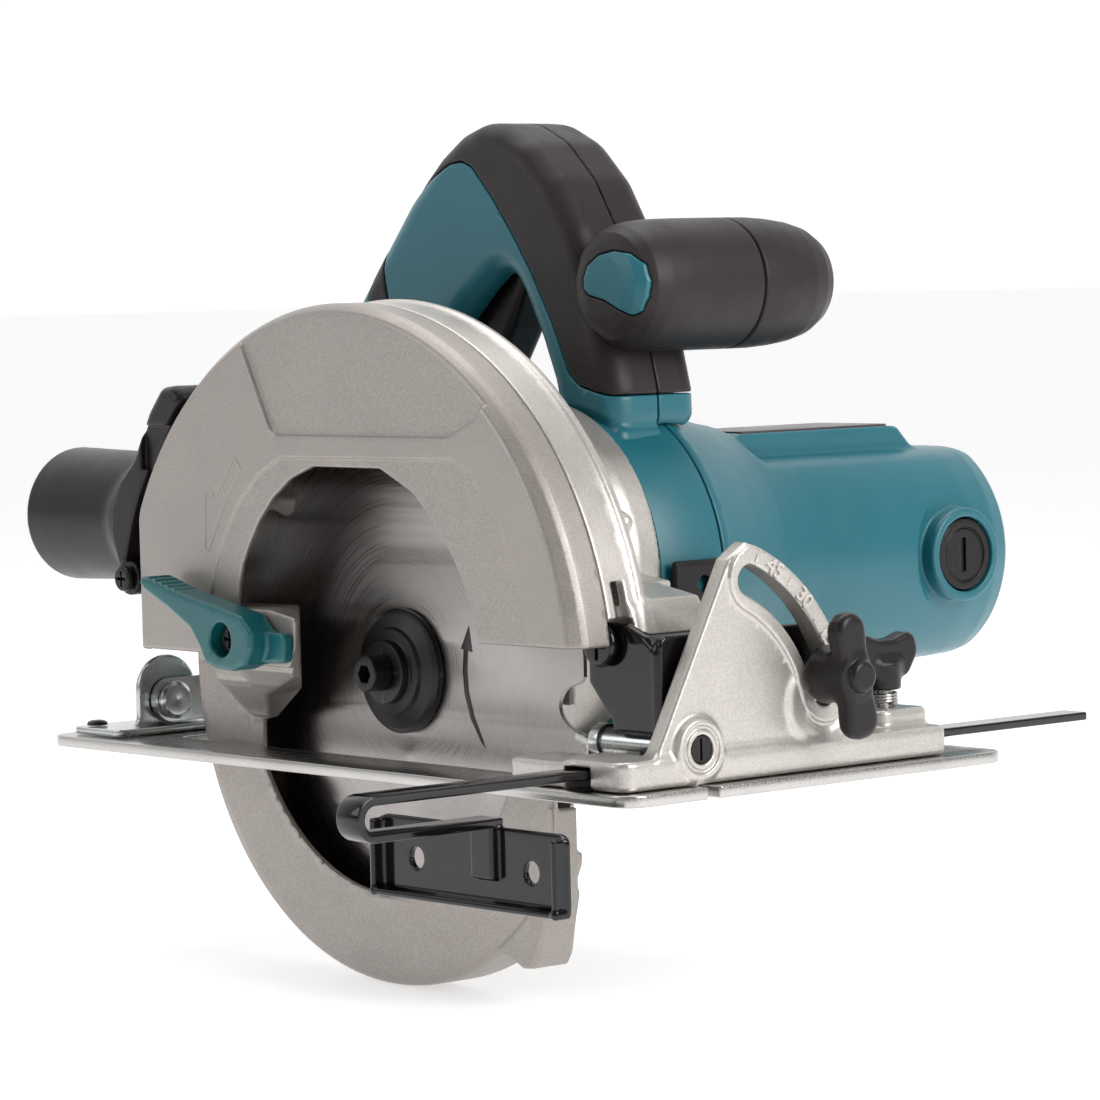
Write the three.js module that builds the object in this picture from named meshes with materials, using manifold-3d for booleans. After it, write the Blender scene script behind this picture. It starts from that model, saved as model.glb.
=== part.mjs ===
// Corded 165 mm circular saw: a sidewinder with the blade on the right and the motor on the left.
// Frame: +X is the cutting direction (front), +Y is the motor side (left), +Z is up, millimetres.
// The sole of the base plate is z = 0. Inside the group, y = 0 is the outer face of the blade; the
// group is moved so that the part's origin is at mid-width of the base, under the blade's axis.
import * as THREE from "three";
import { mergeVertices } from "three/addons/utils/BufferGeometryUtils.js";
import Module from "manifold-3d";

// ---- driving dimensions ---------------------------------------------------
const MID = 40; // distance from the blade's outer face to the middle of the base
const BLADE = { x: 0, z: 28, r: 82.5, plate: 1.4, kerf: 2.0, bore: 10, teeth: 10 };
const MOTOR = { x: 20, z: 54 };
const BASE = { x0: -137.6, x1: 135, y0: -33, y1: 113, t: 3.4 };
const SLOT = { x0: -97, x1: 97, y0: -12, y1: 33 };
const CASE = { r: 108, ridge: 104.7, wall: 3, face: -26.5, seam: -13.2 };
const GUARD = { r: 92, wall: 2, inner: 65, y0: -9.4, y1: 8 };
const TILT = { y: -3, z: 13.4 }; // bevel axis, along X
const DEPTH = { x: 100, z: 41 }; // depth axis, along Y
const HANDLE = { y0: 40, split: 58, y1: 75.5 };
const KNOB = { x: 50, z: 139, r: 19 };
const LOCK = { y: TILT.y + 49 * Math.cos(0.358), z: TILT.z + 49 * Math.sin(0.358) }; // bevel lock, in the quadrant's slot
const SCREW = { x: 112.4, y: 85 }; // the fence's thumb screw
const GUIDE_R = 150; // depth guide's radius about the depth axis
const GEAR = { r: 25.3, teeth: 49 }, PINION = { r: 7.2, teeth: 14 };

// ---- solids ---------------------------------------------------------------
const wasm = await Module();
wasm.setup();
function solid(geometry) {
  const g = (geometry.index ? geometry.toNonIndexed() : geometry.clone());
  g.deleteAttribute("normal");
  g.deleteAttribute("uv");
  const m = mergeVertices(g, 1e-4);
  const make = (idx) => new wasm.Manifold(new wasm.Mesh({ numProp: 3, vertProperties: m.attributes.position.array, triVerts: idx }));
  const idx = new Uint32Array(m.index.array);
  let s = make(idx);
  if (s.volume() < 0) {
    for (let i = 0; i < idx.length; i += 3) [idx[i + 1], idx[i + 2]] = [idx[i + 2], idx[i + 1]];
    s = make(idx);
  }
  return s;
}
function geometryOf(s) {
  const m = s.getMesh(), n = m.numProp, v = new Float32Array(m.numVert * 3);
  for (let i = 0; i < m.numVert; i++) v.set(m.vertProperties.subarray(i * n, i * n + 3), i * 3);
  const g = new THREE.BufferGeometry();
  g.setAttribute("position", new THREE.BufferAttribute(v, 3));
  g.setIndex(new THREE.BufferAttribute(m.triVerts, 1));
  g.computeVertexNormals();
  return g;
}
const join = (...s) => s.reduce((a, b) => a.add(b));
const cut = (a, ...s) => s.reduce((x, y) => x.subtract(y), a);

const shape = (pts, holes = []) => {
  const s = new THREE.Shape(pts.map((p) => new THREE.Vector2(p[0], p[1])));
  for (const h of holes) s.holes.push(new THREE.Path(h.map((p) => new THREE.Vector2(p[0], p[1]))));
  return s;
};
const raw = (s, depth) => new THREE.ExtrudeGeometry(s, { depth, bevelEnabled: false, curveSegments: 12, steps: 1 });
// outline in X,Z, from y0 to y1
const xz = (pts, y0, y1, holes) => solid(raw(shape(pts, holes), y1 - y0).rotateX(Math.PI / 2).translate(0, y1, 0));
// outline in Y,Z, from x0 to x1
const toYZ = new THREE.Matrix4().makeBasis(new THREE.Vector3(0, 1, 0), new THREE.Vector3(0, 0, 1), new THREE.Vector3(1, 0, 0));
const yz = (pts, x0, x1, holes) => solid(raw(shape(pts, holes), x1 - x0).applyMatrix4(toYZ).translate(x0, 0, 0));
// outline in X,Y, from z0 to z1
const xy = (pts, z0, z1, holes) => solid(raw(shape(pts, holes), z1 - z0).translate(0, 0, z0));
const box = (x0, x1, y0, y1, z0, z1) =>
  solid(new THREE.BoxGeometry(x1 - x0, y1 - y0, z1 - z0).translate((x0 + x1) / 2, (y0 + y1) / 2, (z0 + z1) / 2));
// solid of revolution; profile [[radius, along]...] closed
const lathe = (profile, n) => new THREE.LatheGeometry(profile.map((p) => new THREE.Vector2(p[0], p[1])), n);
const closed = (p) => [...p, p[0]];
const revY = (p, cx, cz, n = 32) => solid(lathe(p, n).translate(cx, 0, cz));
const revX = (p, cy, cz, n = 32) => solid(lathe(p, n).rotateZ(-Math.PI / 2).translate(0, cy, cz));
const revZ = (p, cx, cy, n = 32) => solid(lathe(p, n).rotateX(Math.PI / 2).translate(cx, cy, 0));
const disc = (r, a, b) => [[0, a], [r, a], [r, b], [0, b]];
const ring = (ri, ro, a, b) => closed([[ri, a], [ro, a], [ro, b], [ri, b]]);
const cylY = (r, y0, y1, cx, cz, n = 20) => revY(disc(r, y0, y1), cx, cz, n);
const cylX = (r, x0, x1, cy, cz, n = 20) => revX(disc(r, x0, x1), cy, cz, n);
const cylZ = (r, z0, z1, cx, cy, n = 16) => revZ(disc(r, z0, z1), cx, cy, n);
const ringY = (ri, ro, y0, y1, cx, cz, n = 20) => revY(ring(ri, ro, y0, y1), cx, cz, n);
const rad = (d) => (d * Math.PI) / 180;
const arc = (cx, cy, r, a0, a1, n) =>
  Array.from({ length: n + 1 }, (_, i) => {
    const a = rad(a0 + ((a1 - a0) * i) / n);
    return [cx + r * Math.cos(a), cy + r * Math.sin(a)];
  });
const round = (x0, x1, y0, y1, r, n = 4) => [
  ...arc(x1 - r, y0 + r, r, -90, 0, n), ...arc(x1 - r, y1 - r, r, 0, 90, n),
  ...arc(x0 + r, y1 - r, r, 90, 180, n), ...arc(x0 + r, y0 + r, r, 180, 270, n)];
const circle = (cx, cy, r, n = 20) => arc(cx, cy, r, 0, 360 - 360 / n, n - 1);
const arcSlot = (cx, cy, r, w, a0, a1, n) => [
  ...arc(cx, cy, r + w, a0, a1, n), ...arc(cx + r * Math.cos(rad(a1)), cy + r * Math.sin(rad(a1)), w, a1, a1 + 180, 5).slice(1, -1),
  ...arc(cx, cy, r - w, a1, a0, n), ...arc(cx + r * Math.cos(rad(a0)), cy + r * Math.sin(rad(a0)), w, a0 + 180, a0 + 360, 5).slice(1, -1)];

// ---- materials ------------------------------------------------------------
const M = {
  teal: [0x2d7f8c, 0.5, 0], teal_dark: [0x177f85, 0.45, 0], black: [0x2b2728, 0.55, 0], rubber: [0x393233, 0.75, 0],
  silver: [0xa59d98, 0.45, 0.6], cast: [0xb9b4ae, 0.4, 0.7], steel: [0x9a9490, 0.3, 1], dark_steel: [0x262324, 0.45, 0.8],
  zinc: [0xb8bcc0, 0.25, 1], gloss_black: [0x151213, 0.25, 0.2], copper: [0xb06a3c, 0.4, 1], grey: [0x7d7d7d, 0.5, 0.3],
  carbon: [0x1c1c1c, 0.8, 0], white_plate: [0x8c8588, 0.5, 0.2],
};
const group = new THREE.Group();
group.position.y = -MID;
function part(name, s, mat) {
  const [color, roughness, metalness] = M[mat];
  const mesh = new THREE.Mesh(geometryOf(s), new THREE.MeshStandardMaterial({ color, roughness, metalness }));
  mesh.name = name;
  group.add(mesh);
}

// ==== base =================================================================
{
  const o = round(BASE.x0, BASE.x1, BASE.y0, BASE.y1, 7);
  const slot = round(SLOT.x0, SLOT.x1, SLOT.y0, SLOT.y1, 3, 2);
  let b = xy(o, 0, BASE.t, [slot]);
  b = cut(b, box(BASE.x1 - 9, BASE.x1 + 1, -3.5, 0.5, -1, 5)); // sighting notch
  part("base_plate", b, "steel");
}
{
  // front casting: foot, fence channel, bevel quadrant, right-hand arm, clamp pad
  const pad = BASE.t + 0.3;
  let c = xy(round(104, 131, -31, 94, 5), pad, 12);
  c = join(c, xy(round(83, 112, -31, -14, 3, 2), pad, 11));
  c = join(c, xy(round(102, 123, 74, 94, 4), 8, 17));
  const q = [[-20, 8], [10.5, 65.5], ...arc(TILT.y, TILT.z, 59.5, 71, 2, 14), [56.5, 8]];
  c = join(c, yz(q, 124, 130, [arcSlot(TILT.y, TILT.z, 49, 4.3, 14.5, 66, 12)]));
  c = join(c, cylX(8.5, 122.4, 132, TILT.y, TILT.z));
  c = cut(c, cylX(4.1, 103, 133, TILT.y, TILT.z, 16), box(107.2, 117.6, -32, 95, pad - 1, 9.9), cylZ(3.4, 8, 20, SCREW.x, SCREW.y, 16));
  c = cut(c, box(103, 122.2, -13.5, 30, 9.4, 13), box(103, 109, -13.5, 30, pad - 1, 13)); // room behind the foot for the tilting bracket
  c = cut(c, box(118.3, 122.3, -12, 8, 6.2, 13));
  part("front_casting", c, "cast");
}
part("bevel_pivot_pin", join(cylX(3.7, 94, 131.5, TILT.y, TILT.z, 20), cylX(5, 90, 94, TILT.y, TILT.z, 20)).subtract(box(130.6, 132, TILT.y - 4, TILT.y + 4, TILT.z - 0.6, TILT.z + 0.6)), "dark_steel");
{
  // rear hinge: bent zinc-plated sheet on the base with an upright ear
  const p = BASE.t + 0.3;
  let r = xy(round(-132, -107, -28, 22, 3, 2), p, p + 2.3);
  r = join(r, yz([[-14, p], [-14, 14], ...arc(TILT.y, TILT.z + 3, 11, 180, 0, 8), [8, p]], -117.3, -115));
  r = cut(r, cylX(3.3, -118, -114, TILT.y, TILT.z, 20));
  part("rear_hinge_bracket", r, "zinc");
  const rv = (x, y) => join(cylZ(3.4, p + 2.6, p + 4.2, x, y, 16));
  part("rear_hinge_rivet_right", rv(-125, -23), "dark_steel");
  part("rear_hinge_rivet_left", rv(-125, 16), "dark_steel");
}

// ==== rip fence ============================================================
{
  const x0 = 107.6, x1 = 117.2;
  // strip bent into a U in the Y,Z plane
  const u = [[166, 9.2], [166, 6.6], [-104, 6.6], ...arc(-104, 3, 3.6, 90, 270, 6).slice(1), [-61, -0.6], [-61, -3.2], [-104, -3.2], ...arc(-104, 3, 6.2, 270, 90, 8).slice(1)];
  let f = yz(u, x0, x1);
  const plate = xz(round(66, 144, -25, -3, 3), -63, -61, [circle(82, -14, 3, 14), circle(130, -14, 3, 14)]);
  f = join(f, plate, xz([[66, -25], [144, -25], [144, -23], [66, -23]], -67, -61.5), xz([[66, -25], [68, -25], [68, -4], [66, -4]], -67, -61.5), xz([[142, -25], [144, -25], [144, -4], [142, -4]], -67, -61.5), box(x0, x1, -66, -61.5, -17, -1));
  part("rip_fence", f, "gloss_black");
}
{
  let s = join(cylZ(3, 10.4, 23, SCREW.x, SCREW.y, 16), cylZ(5.5, 21.8, 28, SCREW.x, SCREW.y, 16), yz(round(SCREW.y - 12.5, SCREW.y + 12.5, 25, 39, 6, 5), SCREW.x - 3.2, SCREW.x + 3.2));
  part("fence_thumb_screw", s, "black");
  // coil spring under the thumb screw, closed outer shape with a clearance bore
  part("fence_screw_spring", revZ(ring(3.5, 4.7, 17.3, 21.5), SCREW.x, SCREW.y, 16), "steel");
}

// ==== bevel frame ==========================================================
{
  // front bracket: pressed steel, carries the depth pivot and the bevel lock
  let f = xz([[92, 30], [92, 44], [95, 47], [108, 47], [116, 44], [121, 40], [121, 10], [104, 10], [101, 20]], -9, 26);
  f = cut(f, xz([[90, 5], [90, 44.5], [118.5, 44.5], [118.5, 5]], -6.2, 23.2), box(90, 110.8, -5.6, 22.6, 44, 48));
  f = cut(f, box(109, 122, -10, 27, 0, 12.5 - 2.4), box(90, 130, -10, -6, 0, 17), box(90, 130, 23, 27, 0, 17));
  const flange = yz([[-8.6, 9.8], [-8.6, 44], [49, 44], [51, 41], [51, 24], [47, 21], [26, 18], [16, 12.8], [5, 9.8]], 118.9, 121.9);
  f = join(f, flange);
  f = cut(f, cylX(4.1, 117, 123, TILT.y, TILT.z, 16), cylY(4.3, -10, 27, DEPTH.x, DEPTH.z, 16), cylX(3.4, 117, 123, LOCK.y, LOCK.z, 14));
  part("front_tilt_bracket", f, "gloss_black");
}
part("depth_pivot_pin", join(cylY(4, -9.4, 27, DEPTH.x, DEPTH.z, 16), cylY(6.4, -12.6, -9.3, DEPTH.x, DEPTH.z, 20)), "dark_steel");
{
  // rear bracket: from the rear bevel pivot across to the foot of the depth guide
  let r = yz([...arc(TILT.y, TILT.z, 6.9, 90, 270, 12), [29, 6.6], [29, 20.2]], -114.4, -112);
  r = join(r, xz([[-114.4, 6.6], [-114.4, 20], [-70, 20], [-52, 24], [-41, 24], [-41, 12], [-52, 8.6], [-70, 6.6]], 31.5, 34), box(-114.4, -112, 28, 34, 6.6, 20));
  r = cut(r, cylX(3.3, -116, -110, TILT.y, TILT.z, 20));
  part("rear_tilt_bracket", r, "zinc");
}
part("rear_pivot_rivet", join(cylX(3, -119.5, -111.7, TILT.y, TILT.z, 20), cylX(6, -111.7, -109.4, TILT.y, TILT.z, 20), cylX(5.4, -121.5, -118.3, TILT.y, TILT.z, 20)), "zinc");
{
  // depth guide: slotted arc about the depth axis
  const outer = [...arc(DEPTH.x, DEPTH.z, GUIDE_R + 8.5, 190, 143, 16), ...arc(DEPTH.x, DEPTH.z, GUIDE_R - 8.5, 143, 190, 16)];
  const g = xz(outer, 28.5, 31.2, [arcSlot(DEPTH.x, DEPTH.z, GUIDE_R, 4.4, 146.7, 183, 14)]);
  part("depth_guide", g, "zinc");
}
{
  const { y, z } = LOCK;
  let w = join(cylX(3, 118.5, 134, y, z, 16), cylX(6.5, 132.5, 143, y, z, 20), yz(round(y - 6, y + 6, z - 18, z + 18, 6, 5).map(([a, b]) => [y + (a - y) * Math.cos(0.16) - (b - z) * Math.sin(0.16), z + (a - y) * Math.sin(0.16) + (b - z) * Math.cos(0.16)]), 140, 147));
  w = join(w, yz(round(y - 4.5, y + 4.5, z - 4.5, z + 4.5, 3, 3), 146, 149));
  part("bevel_wing_bolt", w, "black");
  part("bevel_lock_nut", yz(circle(y, z, 6.2, 6), 113.4, 118.4, [circle(y, z, 3.3, 14)]), "steel");
}

// ==== blade case and gear housing =========================================
const OPENING = [[-47, 20], [-46.6, 44], [-45.6, 52], [-43.6, 58.5], [-40.5, 64], [-35, 72], [-28, 79], [-19, 85], [-8.1, 88.8], [23.2, 88.7], [38, 82], [50, 71.5], [58.5, 59], [63, 50], [65.5, 40], [65.5, 20]];
const rearLeg = (y0, y1) => box(-130, 0, y0, y1, 32, 200).intersect(box(-95, 0, y0, y1, 0, 200));
const keep = (y0, y1) => join(box(-95, 0.5, y0, y1, 32, 200), box(0, 120, y0, y1, 40.8, 200));
{
  const p = closed([[0.01, -26.5], [100, -26.5], [CASE.ridge, -26.2], [107.2, -24], [CASE.r, -22], [CASE.r, CASE.seam - 0.2], [105, CASE.seam - 0.2], [105, -22.8], [102, -24], [0.01, -24]]);
  let c = revY([[0, -26.5], ...p.slice(1, 9), [0, -24]], BLADE.x, BLADE.z, 48);
  c = c.intersect(keep(-40, 0));
  c = cut(c, xz(OPENING, -40, 0));
  c = join(c, box(-95, -92.5, -24.5, CASE.seam - 0.2, 32, 50), box(-95, -92.5, -24.5, CASE.seam - 0.2, 76, 79));
  part("blade_case", c, "silver");
}
{
  // inner half of the case with the web, the gear box around spindle and pinion, and the front lug
  const prof = closed([[70, 10.5], [94, 10.5], [105, 1], [105, CASE.seam + 0.1], [CASE.r, CASE.seam + 0.1], [CASE.r, 1], [97, 13], [70, 13]]);
  let h = revY(prof, BLADE.x, BLADE.z, 48).intersect(keep(-40, 20));
  const web = xz([...arc(0, 28, 72, -2, 182, 18)], 10.5, 13).intersect(join(keep(0, 20), box(-60, 60, 0, 20, 20, 60)));
  h = join(h, web, box(-95, -92.5, CASE.seam + 0.1, 13, 32, 50), box(-95, -60, 10.5, 13, 32, 60), box(60, 100, 10.5, 13, 40.8, 60));
  const wedge = xz([[60, 30], [86, 40.8], [60, 60]], 10.5, 13);
  h = join(h, wedge, cylY(27.6, 10.5, 30.4, BLADE.x, BLADE.z, 32), revY([[0, 10.5], [44, 10.5], [47, 20], [50.3, 30], [50.3, 38.5], [0, 38.5]], MOTOR.x, MOTOR.z + 1.5, 40));
  h = join(h, cylY(13, 13, 38.5, BLADE.x, BLADE.z, 24));
  // front lug that carries the depth pivot
  h = join(h, xz([[87, 47.8], [87, 56], [100, 53.6], [105, 52.7], [105, 50.5], [101, 47.8]], 0, 22), xz([[60, 47.8], [60, 60], [84, 56.5], [88, 56], [88, 47.8]], 10.5, 27), xz([[87, 52], [87, 36], [92.5, 33.5], [106, 33.5], [108.5, 37], [108.5, 42], [106, 50]], -4.8, 21.8));
  // inside: gear chamber, pinion, bearing seats
  h = cut(h, cylY(26.1, 13.8, 28.2, BLADE.x, BLADE.z, 28), cylY(13.5, 10, 13.81, BLADE.x, BLADE.z, 24), cylY(8.2, 28, 35, BLADE.x, BLADE.z, 24));
  h = cut(h, revY(disc(46.5, 34.3, 39), MOTOR.x, MOTOR.z + 1.5, 36), cylY(9.5, 13.8, 35, MOTOR.x, MOTOR.z, 24));
  h = cut(h, cylY(4.4, -10, 30, DEPTH.x, DEPTH.z, 16), cylY(7.6, -14, -4.8, DEPTH.x, DEPTH.z, 20), box(94, 115, -14, -4.8, 30, 48), cylY(17.5, -9.9, -5.6, DEPTH.x, DEPTH.z, 24));
  // boss for the depth lock
  h = join(h, cylY(7.5, 12.5, 28, DEPTH.x - GUIDE_R, DEPTH.z, 20));
  h = cut(h, cylY(3.3, 8, 29, DEPTH.x - GUIDE_R, DEPTH.z, 14));
  // bore for the shaft-lock button
  h = cut(h, cylX(3.4, -45, -16, 21, 58, 16));
  part("gear_housing", h, "cast");
}
{
  // bearing box: carries the outer spindle bearing; the lower guard turns on its neck
  let b = revY(closed([[13.4, 5.2], [19.4, 5.2], [19.4, 8.4], [23.8, 8.4], [23.8, 10.2], [13.4, 10.2]]), 0, 28, 28);
  part("bearing_box", b, "cast");
}
{
  // guard retaining ring between guard hub and blade
  part("guard_retaining_ring", ringY(18.0, 22.5, 3.4, 4.9, 0, 28, 24), "steel");
}

// ==== lower guard ==========================================================
{
  const R = GUARD.r, a0 = -22, a1 = -192;
  const sector = (ri, ro, y0, y1, s = a0, e = a1, n = 28) => xz([...arc(0, 28, ro, s, e, n), ...arc(0, 28, ri, e, s, n)], y0, y1);
  let g = sector(GUARD.inner, R, GUARD.y0, GUARD.y0 + 1.8);
  g = join(g, sector(R - 2, R, GUARD.y0, GUARD.y1));
  g = join(g, sector(19, R, 6.2, GUARD.y1, -22, -192, 28), ringY(19.8, 26, 6.2, 8.0, 0, 28, 28));
  g = cut(g, cylY(19.8, 0, 20, 0, 28, 28));
  // nose at the front of the rim
  const nose = xz([...arc(0, 28, 91, -38, -58, 6), [56, -51.5], [62, -54.5], [67.5, -54], [71.5, -49.5], [74, -40], [77, -31]].map((p) => p), GUARD.y0, GUARD.y1);
  g = join(g, cut(nose, cylY(R - 1, GUARD.y0 - 1, GUARD.y1 + 1, 0, 28, 48)));
  // lug that reaches out through the opening of the case and carries the lever
  const lugShape = [[-62, 12], [-62, 46], [-14.5, 46], [-15, 36], [-19, 27], [-42, 20], [-52, 12]];
  const slope = yz([[-29.5, 30.5], [-8.4, 9.4], [-8, 9.4], [-8, 60], [-29.5, 60]], -100, 20);
  let lug = join(xz(lugShape, -29, -27.3).intersect(box(-100, 20, -30, -20, 30, 60)),
    xz(lugShape, -27.4, -22).intersect(cylY(46.2, -30, 0, 0, 28, 40)).intersect(slope),
    xz(lugShape, -23.2, GUARD.y0 + 0.6).intersect(slope));
  lug = lug.intersect(xy([[-80, -30], [-14, -30], [-14, -27.3], [-38, -9], [-38, 10], [-80, 10]], -100, 100)); // open towards the front
  g = join(g, lug, xz([...arc(0, 28, 65.5, -180, -192, 4), ...arc(0, 28, 40, -192, -180, 4)], GUARD.y0, GUARD.y0 + 1.8), xz([[-64, 9.5], [-66, 29.5], [-40, 29.5], [-40, 21], [-52, 12]], GUARD.y0, GUARD.y0 + 1.8));
  g = cut(g, cylY(3, -40, -5, -37, 38, 16), xz([[-27, 30], [-27, 43], [-18, 43], [-18, 33]], -26.4, GUARD.y0 + 4));
  g = cut(g, xy([[48, 9], [80, -2], [80, 20], [48, 20]], -70, 10));
  part("lower_guard", g, "silver");
}
{
  // retracting lever: hub, blade-shaped arm and foot
  const hub = [-37, 38];
  let l = xz([[-77.3, 53.5], [-75.4, 51.3], [-63.9, 46.6], [-52.5, 40.8], [-48, 35.3], [-45.4, 30.9], [-40, 29.4], [-32.2, 29.1], [-25.6, 31.3], [-22.6, 36], [-22.6, 40.6], [-27.7, 45.2], [-36, 47.2], [-59.7, 51.6], [-73.2, 55.2], [-76.6, 55]], -39.5, -29.3);
  l = join(l, xz(round(-31, -14.5, 31.5, 40.5, 3, 3), -33, -29.3));
  l = cut(l, cylY(5, -40, -33, hub[0], hub[1], 20), cylY(3, -40, -29, hub[0], hub[1], 16));
  part("guard_lever", l, "teal_dark");
  part("guard_lever_screw", join(cylY(4.4, -36, -33.2, hub[0], hub[1], 20), cylY(2.6, -33.4, -29, hub[0], hub[1], 16)), "dark_steel");
}
part("guard_spring", ringY(24.2, 26.2, 8.4, 10.2, 0, 28, 20), "steel");

// ==== blade and spindle ====================================================
{
  const pts = [];
  for (let i = 0; i < BLADE.teeth; i++) {
    const a = -10.5 + i * 36;
    for (const [d, r] of [[-24, 79.9], [-16, 80.5], [-8, 81.4], [0, 82.5], [0.7, 79.2], [0.9, 75.4], [2.2, 71.3], [4.6, 69.2], [7.4, 70], [9.4, 72.8], [10.4, 76.6]])
      pts.push([r * Math.cos(rad(a + d)), 28 + r * Math.sin(rad(a + d))]);
  }
  let b = xz(pts, 0.3, 0.3 + BLADE.plate, [circle(0, 28, BLADE.bore, 32)]);
  for (let i = 0; i < BLADE.teeth; i++) {
    const a = -10.5 + i * 36;
    const tip = [[-2.2, 82.1], [0.05, 82.5], [0.75, 76], [-1.6, 76]].map(([d, r]) => [r * Math.cos(rad(a + d)), 28 + r * Math.sin(rad(a + d))]);
    b = join(b, xz(tip, 0, BLADE.kerf));
  }
  part("saw_blade", b, "steel");
}
part("outer_flange", revY(closed([[3.7, -0.1], [18.4, -0.1], [18.4, -2.2], [16.6, -3.2], [12.6, -4.4], [12.2, -5.2], [9.2, -5.6], [9.2, -8.4], [3.7, -8.4]]), 0, 28, 28), "dark_steel");
part("blade_bolt", cut(join(cylY(5.3, -15.2, -8.7, 0, 28, 24), cylY(3.3, -8.8, 12, 0, 28, 20)), xz(circle(0, 28, 2.9, 6), -15.3, -10.5)), "dark_steel");
part("inner_flange", revY(closed([[3.7, 0.3], [9.6, 0.3], [9.6, 2.0], [17, 2.0], [17, 4.3], [9, 5], [7.2, 5], [7.2, 3.6], [3.7, 3.6]]), 0, 28, 24), "steel");
part("spindle", revY([[0, 12.6], [3.6, 12.6], [3.6, 3.9], [6.8, 3.9], [6.8, 14], [6.4, 14], [6.4, 28], [4.6, 28], [4.6, 34], [0, 34]], 0, 28, 28), "steel");
part("spindle_bearing_outer", ringY(7.1, 13.1, 5.6, 12.8, 0, 28, 20), "steel");
part("spindle_bearing_inner", ringY(4.9, 7.9, 29, 33.6, 0, 28, 16), "steel");
const gearOutline = (cx, cz, ro, ri, n, ph) => {
  const p = [];
  for (let i = 0; i < n; i++) for (const [f, r] of [[0.1, ri], [0.5, ro]]) {
    const a = ((i + f) / n) * 2 * Math.PI + ph;
    p.push([cx + r * Math.cos(a), cz + r * Math.sin(a)]);
  }
  return p;
};
part("drive_gear", xz(gearOutline(0, 28, GEAR.r, GEAR.r - 1.8, GEAR.teeth, 0), 15.5, 25.5, [circle(0, 28, 6.7, 24)]), "steel");

// ==== motor ================================================================
{
  // armature: shaft with pinion, core and commutator
  let a = revY([[0, 15.2], [4.6, 15.2], [4.6, 27.6], [4.6, 46], [7.5, 46], [7.5, 82], [22, 82], [22, 148], [15, 149], [15, 150], [8, 152], [8, 158], [13.5, 158], [13.5, 180], [5, 180], [5, 192], [0, 192]], MOTOR.x, MOTOR.z, 16);
  a = join(a, xz(gearOutline(MOTOR.x, MOTOR.z, PINION.r, PINION.r - 1.6, PINION.teeth, 0.1), 15.2, 26.5));
  part("armature", a, "copper");
}
part("cooling_fan", join(ringY(7.8, 34, 66, 68.5, MOTOR.x, MOTOR.z, 20), ...Array.from({ length: 9 }, (_, i) => {
  const a = (i / 9) * 360;
  return xz([...arc(MOTOR.x, MOTOR.z, 33, a, a + 5, 1), ...arc(MOTOR.x, MOTOR.z, 12, a + 14, a, 1)], 68, 78);
})), "black");
part("motor_bearing_front", ringY(4.9, 9.2, 28.6, 33.9, MOTOR.x, MOTOR.z, 16), "steel");
part("motor_bearing_rear", ringY(5.3, 10.8, 183, 190, MOTOR.x, MOTOR.z, 16), "steel");
part("stator", ringY(23.5, 34.2, 88, 140, MOTOR.x, MOTOR.z, 20), "copper");
part("fan_baffle", ringY(30, 41.0, 80, 82.5, MOTOR.x, MOTOR.z, 20), "black");
const shell = [[50, 62.4], [52, 62.4], [51.6, 66], [47.5, 78], [43.4, 92], [40.8, 110], [39.4, 165], [37.2, 195], [32, 201], [0, 201], [0, 197.8], [30, 197.8], [34.6, 192], [36.9, 164], [38.3, 110], [41, 91.5], [44.6, 79]];
const envelope = (grow) => revY([[0, 38], [50.6 + grow, 38], [52 + grow, 62.2], [51.6 + grow, 66 + grow], [47.5 + grow, 78 + grow], [43.4 + grow, 92 + grow], [41.4 + grow, 102], [40.6 + grow, 130], [0, 130]], MOTOR.x, MOTOR.z, 48);
{
  let m = revY(closed(shell), MOTOR.x, MOTOR.z, 32);
  // raised pad for the rating plate, brush bosses and the rear bearing seat
  const padTop = xy(round(2, 38, 100, 170, 4, 3), 84, 94);
  m = join(m, cut(padTop, cylY(38.6, 90, 180, MOTOR.x, MOTOR.z, 32)));
  const boss = (x0, x1) => cut(cylX(14.3, x0, x1, 172, MOTOR.z, 24), cylY(35.6, 150, 200, MOTOR.x, MOTOR.z, 32));
  m = join(m, boss(50, 61.5), boss(-21.5, -10));
  m = cut(m, cylX(11.5, 56.5, 65, 172, MOTOR.z, 20), cylX(11.5, -25, -16.5, 172, MOTOR.z, 20), cylX(6.3, -25, 65, 172, MOTOR.z, 12));
  m = join(m, ringY(11.1, 13.5, 181, 198, MOTOR.x, MOTOR.z, 20));
  // intake slots in the end wall
  for (let i = -1; i <= 1; i++) for (const s of [-1, 1]) m = cut(m, box(MOTOR.x + s * 22 - 5.5, MOTOR.x + s * 22 + 5.5, 196, 203, MOTOR.z + i * 7 - 1.4, MOTOR.z + i * 7 + 1.4));
  // outlet slots low on the fan's side
  for (let i = 0; i < 4; i++) m = cut(m, box(MOTOR.x - 20 + i * 11, MOTOR.x - 14 + i * 11, 68, 78, 0, 20));
  m = cut(m, box(4, 36, 103, 167, 93, 96), box(-60, 110, 50, 100, -10, 5.2));
  part("motor_housing", m, "teal");
}
part("rating_plate", xy(round(4.5, 35.5, 103.5, 166.5, 2, 3), 93.4, 94.3), "white_plate");
const cap = (x0, x1, slot) => cut(cylX(11, x0, x1, 172, MOTOR.z, 20), box(slot - 0.8, slot + 0.8, 165.5, 178.5, MOTOR.z - 0.9, MOTOR.z + 0.9));
part("brush_cap_front", cap(56.9, 61, 61.2), "black");
part("brush_cap_rear", cap(-21, -16.9, -21.2), "black");
part("carbon_brush_front", box(34.3, 56.2, 168.8, 175.2, MOTOR.z - 3.6, MOTOR.z + 3.6), "carbon");
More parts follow.
